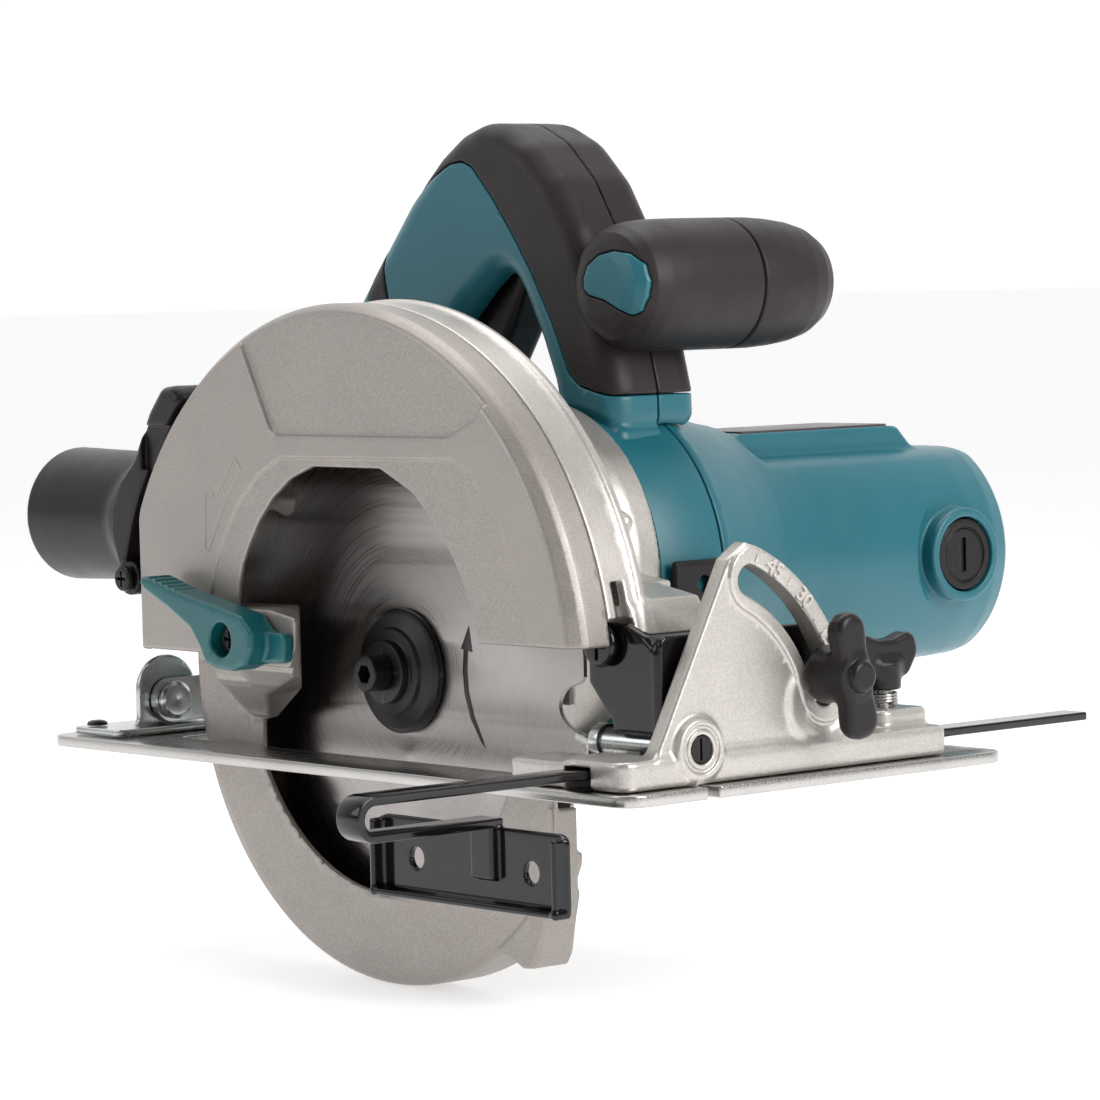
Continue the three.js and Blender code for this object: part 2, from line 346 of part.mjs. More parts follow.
part("carbon_brush_rear", box(-16.2, 5.7, 168.8, 175.2, MOTOR.z - 3.6, MOTOR.z + 3.6), "carbon");

// ==== handle ===============================================================
const OUTER = [[50, 96], [49.6, 108], [46, 122], [40, 139], [33, 156], [24, 170.5], [12, 182], [0, 187.6], [-10, 188.6], [-20, 185.6], [-30, 179.4], [-45, 166.4], [-60, 149.6], [-74, 133.4], [-88, 116], [-96, 102], [-98, 90], [-95, 78], [-87, 69], [-76, 65.5], [-28, 65.5]];
const INNER = [[-32, 88], [-62, 88], [-69, 92], [-70, 98], [-66, 104], [-56, 113], [-40, 119], [-24, 126.6], [-12, 137], [-2, 144.2], [4, 142], [8, 136], [14.6, 123.7], [20, 111], [23, 98]];
const handleOutline = [...OUTER, ...INNER];
{
  // the loop's outline is open below, where it stands on the collar
  const loop = (y0, y1) => xz(handleOutline, y0, y1);
  const trench = xz([[-4, 153], [3, 150], [4, 140], [-8, 131], [-26, 115], [-44, 105], [-47, 114], [-44.5, 132], [-36, 142], [-22, 150]], 49, 67);
  const bay = xz([[2, 178], [14, 166], [6, 152], [-24, 143], [-36, 128], [-46, 138], [-30, 160], [-14, 177]], 46, 70);
  const collar = revY(closed([[46.8, 38.8], [50.6, 38.8], [52, 61.9], [48.6, 61.9]]), MOTOR.x, MOTOR.z, 48);
  let left = loop(HANDLE.y0, HANDLE.split - 0.15);
  left = cut(left, cylY(48, 30, 70, MOTOR.x, MOTOR.z, 48), trench, bay);
  left = join(left, collar);
  left = cut(left, box(-110, 110, 61.95, 90, 0, 200), box(-60, 110, 30, 90, -10, 5.2));
  part("handle_shell_blade_side", left, "teal");
  let right = loop(HANDLE.split + 0.15, HANDLE.y1);
  right = cut(right, envelope(0.5), trench, bay);
  right = cut(right, cylY(5.2, 60, 90, -10, 162, 20));
  part("handle_shell_motor_side", right, "rubber");
}
{
  // front grip: knob across the handle's front leg, in two mouldings, with an inlaid end
  let k = revY([[0, 37.4], [11, 37.4], [15.6, 38.8], [18.3, 42.4], [19.2, 49], [19.4, 72], [19.4, 83.7], [0, 83.7]], KNOB.x, KNOB.z, 24);
  k = cut(k, xz(handleOutline.map((p) => p), HANDLE.y0 - 0.3, HANDLE.y1 + 0.3), xz([...OUTER.slice(0, 12).map(([x, z]) => [x + 0.3, z + 0.1]), [-20, 180], [-20, 96]], HANDLE.y0 - 0.3, HANDLE.y1 + 0.3));
  k = cut(k, cylY(10.3, 30, 38.2, KNOB.x, KNOB.z, 20));
  part("front_grip", k, "rubber");
  part("front_grip_end", revY([[0, 84], [19.4, 84], [19.1, 96.5], [17.6, 108.5], [14.4, 116], [9, 119.5], [0, 120.5]], KNOB.x, KNOB.z, 24), "rubber");
  part("front_grip_inlay", cylY(9.9, 36.6, 37.9, KNOB.x, KNOB.z, 20), "teal");
}
{
  // trigger, hinged at its front end inside the handle
  let t = xz([[-6, 148.5], [-1.5, 147], [-1, 140.5], [-8, 127], [-16, 115.5], [-27, 108.5], [-33, 108.5], [-36, 113], [-38, 121], [-26, 134], [-16, 146]], 50.5, 65.5);
  t = cut(t, cylY(1.8, 40, 80, -5, 145.5, 16));
  part("trigger", t, "black");
  part("trigger_pin", cylY(1.5, 49.4, 66.6, -5, 145.5, 16), "steel");
}
part("switch_block", xz([[-18, 167], [-8, 169], [3, 160], [-2, 154], [-20, 150], [-32, 140], [-38, 140]].map(([x, z]) => [x, z]), 51, 65), "black");
part("lock_off_button", cylY(4.9, 68.6, 79.5, -10, 162, 20), "black");
{
  // shaft-lock button behind the gear box
  part("shaft_lock_button", join(cylX(3.1, -38, -27, 21, 58, 16), cylX(6.5, -43, -38, 21, 58, 20)), "black");
}
{
  // depth lock: bolt through boss and guide, lever on its end
  const x = DEPTH.x - GUIDE_R, z = DEPTH.z;
  part("depth_lock_bolt", join(cylY(3, 9.5, 40.6, x, z, 14), xz(circle(x, z, 5.6, 6), 8.6, 10.2)), "steel");
  let l = join(ringY(3.4, 8, 34.6, 39.4, x, z, 16), xz([[x - 3, z - 7], [x - 3, z + 7], [x - 30, z + 9], [x - 43, z + 8], [x - 46, z + 2], [x - 42, z - 3], [x - 28, z - 5]], 35.4, 39));
  l = cut(l, cylY(3.4, 30, 45, x, z, 16));
  part("depth_lock_lever", l, "black");
}

// ==== dust nozzle, inlet, small parts ======================================
{
  const cy = -2, cz = 70.5;
  let n = revX([[0, -161], [21, -161], [20.4, -140], [20, -118], [18, -100], [0, -95.4]], cy, cz, 28);
  n = join(n, xz([[-95.4, 50], [-95.4, 79], [-80.5, 100.5], [-72, 110.5], [-78, 114.5], [-88, 113], [-97, 104], [-106, 92], [-112, 80], [-112, 50], [-104, 46.5]], -25, 6).intersect(cut(box(-130, -60, -30, 12, 40, 120), cylY(108.8, -30, 20, 0, 28, 48))));
  n = cut(n, revX([[0, -162], [18.4, -162], [17.8, -118], [15, -104], [15, -94], [0, -94]], cy, cz, 24), box(-104, -94, -13, 0, 54, 78));
  n = join(n, cylY(5, -25, -16, -103, 53, 16));
  n = cut(n, cylY(2, -26, -15, -103, 53, 12));
  part("dust_nozzle", n, "black");
  part("dust_nozzle_screw", join(cylY(4, -28, -25.3, -103, 53, 16), cylY(1.8, -25.4, -17, -103, 53, 12)), "dark_steel");
}
part("cord_inlet", revX([[0, -112], [7.5, -112], [8.4, -106], [8.4, -98.6], [0, -98.6]], HANDLE.split, 88, 24).subtract(cylX(4, -113, -101, HANDLE.split, 88, 20)), "rubber");
part("wrench_holder", cut(box(72.4, 74.6, 40.5, 61, 47, 60), cylX(2.2, 70, 77, 54.5, 52.5, 12)), "black");

export default group;
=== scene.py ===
import bpy, math
import numpy as np
import openvdb
from mathutils import Vector, Matrix


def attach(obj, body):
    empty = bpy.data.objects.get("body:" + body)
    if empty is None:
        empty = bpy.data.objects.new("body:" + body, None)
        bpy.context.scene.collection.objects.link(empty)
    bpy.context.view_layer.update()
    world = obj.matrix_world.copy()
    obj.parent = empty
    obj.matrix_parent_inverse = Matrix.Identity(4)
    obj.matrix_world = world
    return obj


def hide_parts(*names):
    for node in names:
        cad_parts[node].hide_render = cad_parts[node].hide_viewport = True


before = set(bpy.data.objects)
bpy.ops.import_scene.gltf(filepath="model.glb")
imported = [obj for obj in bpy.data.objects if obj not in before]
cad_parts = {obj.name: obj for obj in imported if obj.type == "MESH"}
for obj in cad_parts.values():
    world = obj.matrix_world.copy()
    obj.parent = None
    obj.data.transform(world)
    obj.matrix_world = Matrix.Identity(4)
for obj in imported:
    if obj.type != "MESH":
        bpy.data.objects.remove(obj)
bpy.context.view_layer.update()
MM = 0.001
MID = 40.0                      # y = 0 below is the blade's outer face, 40 mm right of the part's origin
scene = bpy.context.scene

# ------------------------------------------------------------------ materials
def nt(name):
    m = bpy.data.materials.new(name); m.use_nodes = True
    t = m.node_tree; b = t.nodes["Principled BSDF"]
    return m, t, b
def node(t, kind, **kw):
    n = t.nodes.new(kind)
    for k, v in kw.items():
        if k in n.inputs: n.inputs[k].default_value = v
        else: setattr(n, k, v)
    return n
def coords(t):
    return node(t, "ShaderNodeTexCoord").outputs["Object"]
def noise(t, vec, scale, detail=3.0, rough=0.55, dist=0.0):
    n = node(t, "ShaderNodeTexNoise", Scale=scale, Detail=detail, Roughness=rough, Distortion=dist)
    t.links.new(vec, n.inputs["Vector"]); return n.outputs["Fac"]
def ramp(t, fac, stops):
    r = node(t, "ShaderNodeValToRGB"); e = r.color_ramp.elements
    while len(e) > 1: e.remove(e[-1])
    e[0].position = stops[0][0]; e[0].color = (*stops[0][1], 1)
    for p, c in stops[1:]:
        q = e.new(p); q.color = (*c, 1)
    t.links.new(fac, r.inputs["Fac"]); return r.outputs["Color"]
def rng(t, fac, a, b, lo=0.0, hi=1.0):
    r = node(t, "ShaderNodeMapRange"); r.inputs["From Min"].default_value = lo; r.inputs["From Max"].default_value = hi
    r.inputs["To Min"].default_value = a; r.inputs["To Max"].default_value = b
    t.links.new(fac, r.inputs["Value"]); return r.outputs["Result"]
def mul(t, a, b, mode="MULTIPLY", fac=1.0):
    m = node(t, "ShaderNodeMix", data_type="RGBA", blend_type=mode); m.inputs["Factor"].default_value = fac
    t.links.new(a, m.inputs["A"]); t.links.new(b, m.inputs["B"]); return m.outputs["Result"]
def bump(t, b, height, strength, dist):
    n = node(t, "ShaderNodeBump", Strength=strength, Distance=dist)
    t.links.new(height, n.inputs["Height"])
    old = b.inputs["Normal"].links
    if old: t.links.new(old[0].from_socket, n.inputs["Normal"])
    t.links.new(n.outputs["Normal"], b.inputs["Normal"])
def scaled(c, k): return tuple(max(0.0, min(1.0, x * k)) for x in c)
def surface(name, color, rough, metal=0.0, grain=1500.0, gstr=0.15, gdist=0.0001, vary=0.08, rvary=0.12, wear=None, coat=0.0, coat_rough=0.1, spec=0.5, speck=0.0, speck_scale=3000.0):
    """Moulded, painted or cast surface: cloudy tone, fine speckle, grain bump, rubbed edges."""
    m, t, b = nt(name); v = coords(t)
    b.inputs["Metallic"].default_value = metal; b.inputs["Specular IOR Level"].default_value = spec
    b.inputs["Coat Weight"].default_value = coat; b.inputs["Coat Roughness"].default_value = coat_rough
    col = ramp(t, noise(t, v, 35.0, 4.0), [(0.3, scaled(color, 1 - vary)), (0.7, scaled(color, 1 + vary))])
    if speck:
        s = ramp(t, noise(t, v, speck_scale, 1.0), [(0.35, (1 - speck,) * 3), (0.65, (1 + 0.0 * speck,) * 3)])
        col = mul(t, col, s)
    if wear:
        g = node(t, "ShaderNodeNewGeometry").outputs["Pointiness"]
        e = rng(t, g, 0.0, 1.0, 0.52, 0.62)
        mx = node(t, "ShaderNodeMix", data_type="RGBA"); t.links.new(e, mx.inputs["Factor"])
        t.links.new(col, mx.inputs["A"]); mx.inputs["B"].default_value = (*wear, 1); col = mx.outputs["Result"]
    t.links.new(col, b.inputs["Base Color"])
    t.links.new(rng(t, noise(t, v, 90.0, 5.0, 0.6), rough * (1 - rvary), rough * (1 + rvary), 0.3, 0.7), b.inputs["Roughness"])
    bump(t, b, noise(t, v, grain, 2.0, 0.6), gstr, gdist)
    return m
def brushed(name, color, rough, center=None, axis=0, scale=900.0, strength=0.12, vary=0.12, aniso=0.5):
    """Ground or rolled metal: lines run along an axis, or in circles about a centre (x, z in metres)."""
    m, t, b = nt(name); v = coords(t)
    b.inputs["Metallic"].default_value = 1.0
    sep = node(t, "ShaderNodeSeparateXYZ"); t.links.new(v, sep.inputs[0])
    comb = node(t, "ShaderNodeCombineXYZ")
    if center:
        def math2(op, a, bb):
            n = node(t, "ShaderNodeMath", operation=op)
            for i, x in enumerate((a, bb)):
                if isinstance(x, (int, float)): n.inputs[i].default_value = x
                elif x is not None: t.links.new(x, n.inputs[i])
            return n.outputs[0]
        dx = math2("SUBTRACT", sep.outputs["X"], center[0]); dz = math2("SUBTRACT", sep.outputs["Z"], center[1])
        r = math2("SQRT", math2("ADD", math2("MULTIPLY", dx, dx), math2("MULTIPLY", dz, dz)), None)
        a = math2("ARCTAN2", dz, dx)
        t.links.new(math2("MULTIPLY", r, scale), comb.inputs[0]); t.links.new(math2("MULTIPLY", a, 0.7), comb.inputs[1])
        b.inputs["Anisotropic"].default_value = aniso
        tg = node(t, "ShaderNodeTangent", direction_type="RADIAL", axis="Y"); t.links.new(tg.outputs[0], b.inputs["Tangent"])
    else:
        for i, o in enumerate(("X", "Y", "Z")):
            k = node(t, "ShaderNodeMath", operation="MULTIPLY"); k.inputs[1].default_value = scale * (0.012 if i == axis else 1.0)
            t.links.new(sep.outputs[o], k.inputs[0]); t.links.new(k.outputs[0], comb.inputs[i])
    f = noise(t, comb.outputs[0], 1.0, 4.0, 0.6)
    cl = noise(t, v, 30.0, 3.0)
    col = mul(t, ramp(t, f, [(0.3, scaled(color, 1 - vary)), (0.7, scaled(color, 1 + vary))]), ramp(t, cl, [(0.3, (0.86,) * 3), (0.7, (1.0,) * 3)]))
    t.links.new(col, b.inputs["Base Color"])
    t.links.new(rng(t, f, rough * 0.75, rough * 1.3, 0.3, 0.7), b.inputs["Roughness"])
    bump(t, b, f, strength, 0.00006)
    return m

TEAL = surface("teal_nylon", (0.0095, 0.128, 0.166), 0.38, grain=2600, gstr=0.22, gdist=0.00008, vary=0.035, rvary=0.10, wear=(0.022, 0.175, 0.215), coat=0.10, coat_rough=0.35)
LEVER = surface("lever_nylon", (0.0025, 0.105, 0.117), 0.34, grain=2400, gstr=0.2, gdist=0.00008, vary=0.05, wear=(0.012, 0.20, 0.215), coat=0.15, coat_rough=0.3)
SOFT = surface("soft_elastomer", (0.017, 0.0115, 0.0125), 0.47, grain=1900, gstr=0.42, gdist=0.00012, vary=0.10, rvary=0.16, wear=(0.026, 0.019, 0.020), spec=0.36)
BLACK = surface("black_nylon", (0.0085, 0.0062, 0.0066), 0.36, grain=2200, gstr=0.3, gdist=0.0001, vary=0.12, wear=(0.018, 0.015, 0.016), spec=0.36)
SILVER = surface("silver_paint", (0.41, 0.375, 0.35), 0.43, metal=0.66, grain=3200, gstr=0.28, gdist=0.00008, vary=0.035, speck=0.22, speck_scale=2600, wear=(0.46, 0.42, 0.395))
CAST = surface("lacquered_casting", (0.60, 0.57, 0.535), 0.37, metal=0.72, grain=1500, gstr=0.32, gdist=0.00011, vary=0.05, speck=0.16, speck_scale=1700, wear=(0.64, 0.61, 0.575))
GLOSS = surface("gloss_black_paint", (0.0045, 0.0035, 0.0038), 0.13, grain=420, gstr=0.10, gdist=0.00012, vary=0.15, coat=0.25, coat_rough=0.05, wear=(0.03, 0.027, 0.027), spec=0.28)
OXIDE = surface("blackened_steel", (0.012, 0.0105, 0.0105), 0.36, metal=0.35, grain=1800, gstr=0.25, gdist=0.0001, vary=0.2, wear=(0.10, 0.09, 0.09))
ZINC = surface("bright_zinc", (0.56, 0.58, 0.58), 0.24, metal=1.0, grain=500, gstr=0.12, gdist=0.0001, vary=0.10, rvary=0.3, wear=(0.80, 0.80, 0.80))
COPPER = surface("copper_winding", (0.50, 0.20, 0.09), 0.38, metal=1.0, grain=1400, gstr=0.5, gdist=0.0002, vary=0.2)
CARBON = surface("pressed_carbon", (0.02, 0.02, 0.02), 0.7, grain=2600, gstr=0.4, vary=0.2)
LABEL = surface("grey_label", (0.10, 0.085, 0.095), 0.38, metal=0.35, grain=2600, gstr=0.1, vary=0.08)
BLADE_M = brushed("ground_blade", (0.40, 0.375, 0.365), 0.30, center=(0.0, 0.028), scale=2600.0, strength=0.03, vary=0.035, aniso=0.8)
PLATE_M = brushed("rolled_plate", (0.54, 0.525, 0.51), 0.27, axis=0, scale=1300.0, strength=0.035, vary=0.05)
GROUND = brushed("ground_steel", (0.50, 0.49, 0.47), 0.24, axis=1, scale=1500.0, strength=0.1)
EDGE_M = surface("bright_bare_edge", (0.80, 0.78, 0.75), 0.26, metal=1.0, grain=1500, gstr=0.1, vary=0.05)
INNER = surface("inner_dark_paint", (0.16, 0.14, 0.13), 0.5, metal=0.5, grain=2000, gstr=0.2, vary=0.1)

# ------------------------------------------------------------------ distance fields (mm)
def U(a, b, r=0.0):
    if r <= 0: return np.minimum(a, b)
    return np.maximum(r, np.minimum(a, b)) - np.sqrt(np.maximum(r - a, 0) ** 2 + np.maximum(r - b, 0) ** 2)
def I(a, b, r=0.0):
    if r <= 0: return np.maximum(a, b)
    return np.minimum(-r, np.maximum(a, b)) + np.sqrt(np.maximum(r + a, 0) ** 2 + np.maximum(r + b, 0) ** 2)
def D(a, b, r=0.0): return I(a, -b, r)
def poly2(pts, u, v):
    """Signed distance to a closed outline, on the grid u (n,1) by v (1,m)."""
    P = np.asarray(pts, np.float32); n = len(P)
    best = np.full(np.broadcast_shapes(u.shape, v.shape), 1e18, np.float32); inside = np.zeros(best.shape, bool)
    for i in range(n):
        ax, ay = P[i]; bx, by = P[(i + 1) % n]; ex, ey = bx - ax, by - ay; L = ex * ex + ey * ey
        if L < 1e-9: continue
        wx, wy = u - ax, v - ay
        t = np.clip((wx * ex + wy * ey) / L, 0, 1)
        best = np.minimum(best, (wx - ex * t) ** 2 + (wy - ey * t) ** 2)
        if ay != by:
            c = ((ay > v) != (by > v)) & (u < (bx - ax) * (v - ay) / (by - ay) + ax)
            inside ^= c
    d = np.sqrt(best); return np.where(inside, -d, d)
def fillet(pts, r, n=6):
    """Rounds an outline's corners; a point may carry its own radius as a third number."""
    out = []; N = len(pts)
    for i, p in enumerate(pts):
        rr = p[2] if len(p) > 2 else r
        a, b, c = np.array(pts[i - 1][:2], float), np.array(p[:2], float), np.array(pts[(i + 1) % N][:2], float)
        u, v = a - b, c - b; lu, lv = np.linalg.norm(u), np.linalg.norm(v)
        if rr <= 0 or lu < 1e-6 or lv < 1e-6: out.append(tuple(b)); continue
        u /= lu; v /= lv; ang = math.acos(max(-1, min(1, float(u @ v))))
        if ang > math.pi - 0.03: out.append(tuple(b)); continue
        d = min(rr / math.tan(ang / 2), 0.48 * lu, 0.48 * lv); q = d * math.tan(ang / 2)
        bis = (u + v) / np.linalg.norm(u + v); c0 = b + bis * (q / math.sin(ang / 2))
        s, e = b + u * d, b + v * d
        a0 = math.atan2(*(s - c0)[::-1]); a1 = math.atan2(*(e - c0)[::-1]); da = (a1 - a0 + math.pi) % (2 * math.pi) - math.pi
        for k in range(n + 1):
            w = a0 + da * k / n; out.append((c0[0] + q * math.cos(w), c0[1] + q * math.sin(w)))
    return out
def arc(cx, cy, r, a0, a1, n):
    return [(cx + r * math.cos(math.radians(a0 + (a1 - a0) * i / n)), cy + r * math.sin(math.radians(a0 + (a1 - a0) * i / n))) for i in range(n + 1)]
def rrect(x0, x1, y0, y1, r): return fillet([(x0, y0), (x1, y0), (x1, y1), (x0, y1)], r)
def arcslot(cx, cy, r, w, a0, a1, n=24):
    e = lambda a: (cx + r * math.cos(math.radians(a)), cy + r * math.sin(math.radians(a)))
    return arc(cx, cy, r + w, a0, a1, n) + arc(*e(a1), w, a1, a1 + 180, 8)[1:-1] + arc(cx, cy, r - w, a1, a0, n) + arc(*e(a0), w, a0 + 180, a0 + 360, 8)[1:-1]

class F:
    """A grid of points, and the shapes measured on it. Everything is in mm, y from the blade's outer face."""
    def __init__(s, x0, x1, y0, y1, z0, z1, h=0.5):
        s.h = h = h * 1.0
        s.o = (x0 - 3.5 * h, y0 - 3.5 * h, z0 - 3.5 * h)
        c = [np.float32(o) + np.arange(int((b - a) / h) + 9, dtype=np.float32) * np.float32(h) for o, a, b in zip(s.o, (x0, y0, z0), (x1, y1, z1))]
        s.X, s.Y, s.Z = c[0][:, None, None], c[1][None, :, None], c[2][None, None, :]
        s.c = c; s.shape = tuple(len(q) for q in c)
    def xz(s, p): return poly2(p, s.c[0][:, None], s.c[2][None, :])[:, None, :]
    def yz(s, p): return poly2(p, s.c[1][:, None], s.c[2][None, :])[None, :, :]
    def xy(s, p): return poly2(p, s.c[0][:, None], s.c[1][None, :])[:, :, None]
    def slab(s, ax, lo, hi): return np.abs((s.X, s.Y, s.Z)[ax] - (lo + hi) / 2) - (hi - lo) / 2
    def pxz(s, p, y0, y1, r=0.0): return I(s.xz(p), s.slab(1, y0, y1), r)
    def pyz(s, p, x0, x1, r=0.0): return I(s.yz(p), s.slab(0, x0, x1), r)
    def pxy(s, p, z0, z1, r=0.0): return I(s.xy(p), s.slab(2, z0, z1), r)
    def box(s, x0, x1, y0, y1, z0, z1, r=0.0): return I(I(s.slab(0, x0, x1), s.slab(1, y0, y1), r), s.slab(2, z0, z1), r)
    def cy(s, R, y0, y1, cx, cz, r=0.0): return I(np.sqrt((s.X - cx) ** 2 + (s.Z - cz) ** 2) - R, s.slab(1, y0, y1), r)
    def cx(s, R, x0, x1, cy, cz, r=0.0): return I(np.sqrt((s.Y - cy) ** 2 + (s.Z - cz) ** 2) - R, s.slab(0, x0, x1), r)
    def cz(s, R, z0, z1, cx, cy, r=0.0): return I(np.sqrt((s.X - cx) ** 2 + (s.Y - cy) ** 2) - R, s.slab(2, z0, z1), r)
    def ry(s, R, cx, cz): return np.sqrt((s.X - cx) ** 2 + (s.Z - cz) ** 2) - R
    def _lathe(s, prof, rad, along):
        q = [(-30.0 if r <= 0.011 else r, a) for r, a in prof]
        rm = float(rad.max()) + 1; g = s.h * 0.5
        tab = np.arange(0, rm + 2 * g, g, dtype=np.float32)
        T = poly2(q, tab[:, None], along[None, :])
        k = rad / g; i = k.astype(np.int32); f = (k - i)[..., None]
        return T[i] * (1 - f) + T[i + 1] * f
    def ly(s, prof, cx, cz):
        rad = np.sqrt((s.c[0][:, None] - cx) ** 2 + (s.c[2][None, :] - cz) ** 2)
        return np.transpose(s._lathe(prof, rad, s.c[1]), (0, 2, 1))
    def lx(s, prof, cy, cz):
        rad = np.sqrt((s.c[1][:, None] - cy) ** 2 + (s.c[2][None, :] - cz) ** 2)
        return np.transpose(s._lathe(prof, rad, s.c[0]), (2, 0, 1))
    def seg(s, a, b, R):
        ax, ay, az = a; ex, ey, ez = b[0] - ax, b[1] - ay, b[2] - az; L = ex * ex + ey * ey + ez * ez
        wx, wy, wz = s.X - ax, s.Y - ay, s.Z - az
        t = np.clip((wx * ex + wy * ey + wz * ez) / L, 0, 1)
        return np.sqrt((wx - ex * t) ** 2 + (wy - ey * t) ** 2 + (wz - ez * t) ** 2) - R

PIECES = []
def place(o, body, mat, nodes=()):
    o.data.materials.clear(); o.data.materials.append(mat)
    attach(o, body)
    if nodes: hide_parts(*nodes)
    PIECES.append(o); return o
def mesh_object(name, co, faces, normals=None, smooth=True):
    me = bpy.data.meshes.new(name)
    me.from_pydata(co.tolist(), [], faces)
    me.validate(); me.update()
    o = bpy.data.objects.new(name, me); scene.collection.objects.link(o)
    if smooth: me.polygons.foreach_set("use_smooth", np.ones(len(me.polygons), bool))
    if normals is not None: me.normals_split_custom_set_from_vertices(normals.tolist())
    return o
def carve(name, f, d, body, mat, nodes=(), adapt=0.015, biggest=True):
    """Meshes the zero level of field d on grid f, with normals taken from the field."""
    h = f.h; d = np.ascontiguousarray(np.broadcast_to(d, f.shape), dtype=np.float32)
    g = openvdb.FloatGrid(background=3 * h); g.copyFromArray(np.clip(d, -3 * h, 3 * h))
    p, tri, quad = g.convertToPolygons(isovalue=0.0, adaptivity=adapt)
    n1 = np.array(f.shape) - 1
    def at(q):
        q = np.clip(q, 0, n1 - 1e-3); i = q.astype(np.int32); w = q - i; x, y, z = i.T; a, b, c = w.T
        L = lambda dx, dy, dz: d[x + dx, y + dy, z + dz]
        return ((L(0,0,0)*(1-a)+L(1,0,0)*a)*(1-b)+(L(0,1,0)*(1-a)+L(1,1,0)*a)*b)*(1-c)+((L(0,0,1)*(1-a)+L(1,0,1)*a)*(1-b)+(L(0,1,1)*(1-a)+L(1,1,1)*a)*b)*c
    e = 0.6; gr = np.stack([at(p + np.eye(3)[k] * e) - at(p - np.eye(3)[k] * e) for k in range(3)], 1)
    gr /= np.maximum(np.linalg.norm(gr, axis=1, keepdims=True), 1e-9)
    co = (p * h + np.array(f.o)); co[:, 1] -= MID; co = co / 1000.0
    faces = [list(map(int, q)) for q in quad] + [list(map(int, q)) for q in tri]
    a, b, c = co[quad[:, 0]], co[quad[:, 1]], co[quad[:, 2]]
    fn = np.cross(b - a, c - a); flip = float((fn * gr[quad[:, 0]]).sum()) < 0
    if flip: faces = [q[::-1] for q in faces]
    if biggest:
        parent = np.arange(len(co))
        ed = np.concatenate([quad[:, [0, 1]], quad[:, [1, 2]], quad[:, [2, 3]], tri[:, [0, 1]], tri[:, [1, 2]]]) if len(tri) else np.concatenate([quad[:, [0, 1]], quad[:, [1, 2]], quad[:, [2, 3]]])
        ed = ed.astype(np.int64)
        for _ in range(200):
            m = np.minimum(parent[ed[:, 0]], parent[ed[:, 1]]); new = parent.copy()
            np.minimum.at(new, ed[:, 0], m); np.minimum.at(new, ed[:, 1], m); new = new[new]
            if (new == parent).all(): break
            parent = new
        ids, cnt = np.unique(parent, return_counts=True)
        if len(ids) > 1:
            good = parent == ids[cnt.argmax()]; idx = np.cumsum(good) - 1
            faces = [[int(idx[v]) for v in q] for q in faces if good[q[0]]]; co = co[good]; gr = gr[good]
    return place(mesh_object(name, co, faces, gr), body, mat, nodes)

# ------------------------------------------------------------------ bevelled solids from outlines (bmesh)
import bmesh
def prism(name, outline, holes, plane, lo, hi, bev, body, mat, nodes=(), segs=2, link=True):
    """Extrudes an outline with holes and rounds its long edges: plane is 'xz', 'yz' or 'xy'."""
    cu = bpy.data.curves.new(name, "CURVE"); cu.dimensions = "2D"; cu.fill_mode = "BOTH"
    for pts in [outline] + list(holes):
        sp = cu.splines.new("POLY"); sp.points.add(len(pts) - 1)
        for k, (a, b) in enumerate(pts): sp.points[k].co = (a / 1000, b / 1000, 0, 1)
        sp.use_cyclic_u = True
    b = min(bev, 0.45 * (hi - lo))
    cu.extrude = max((hi - lo) / 2 - b, 1e-5) / 1000; cu.bevel_depth = b / 1000; cu.bevel_resolution = segs; cu.offset = -b / 1000
    o = bpy.data.objects.new(name, cu); scene.collection.objects.link(o)
    bpy.context.view_layer.update()
    me = bpy.data.meshes.new_from_object(o.evaluated_get(bpy.context.evaluated_depsgraph_get()))
    bpy.data.objects.remove(o); bpy.data.curves.remove(cu)
    mid = (lo + hi) / 2000
    if plane == "xz": M = Matrix(((1, 0, 0, 0), (0, 0, -1, mid - MID / 1000), (0, 1, 0, 0), (0, 0, 0, 1)))
    elif plane == "yz": M = Matrix(((0, 0, 1, mid), (1, 0, 0, -MID / 1000), (0, 1, 0, 0), (0, 0, 0, 1)))
    else: M = Matrix(((1, 0, 0, 0), (0, 1, 0, -MID / 1000), (0, 0, 1, mid), (0, 0, 0, 1)))
    me.transform(M)
    bm = bmesh.new(); bm.from_mesh(me); bmesh.ops.remove_doubles(bm, verts=bm.verts, dist=2e-6)
    bmesh.ops.recalc_face_normals(bm, faces=bm.faces)
    for q in bm.faces: q.smooth = True
    bm.to_mesh(me); bm.free(); me.name = name
    o = bpy.data.objects.new(name, me); scene.collection.objects.link(o)
    sharp(o)
    if link: place(o, body, mat, nodes)
    return o
def sharp(o, deg=32):
    o.data.update(); o.data.set_sharp_from_angle(angle=math.radians(deg))
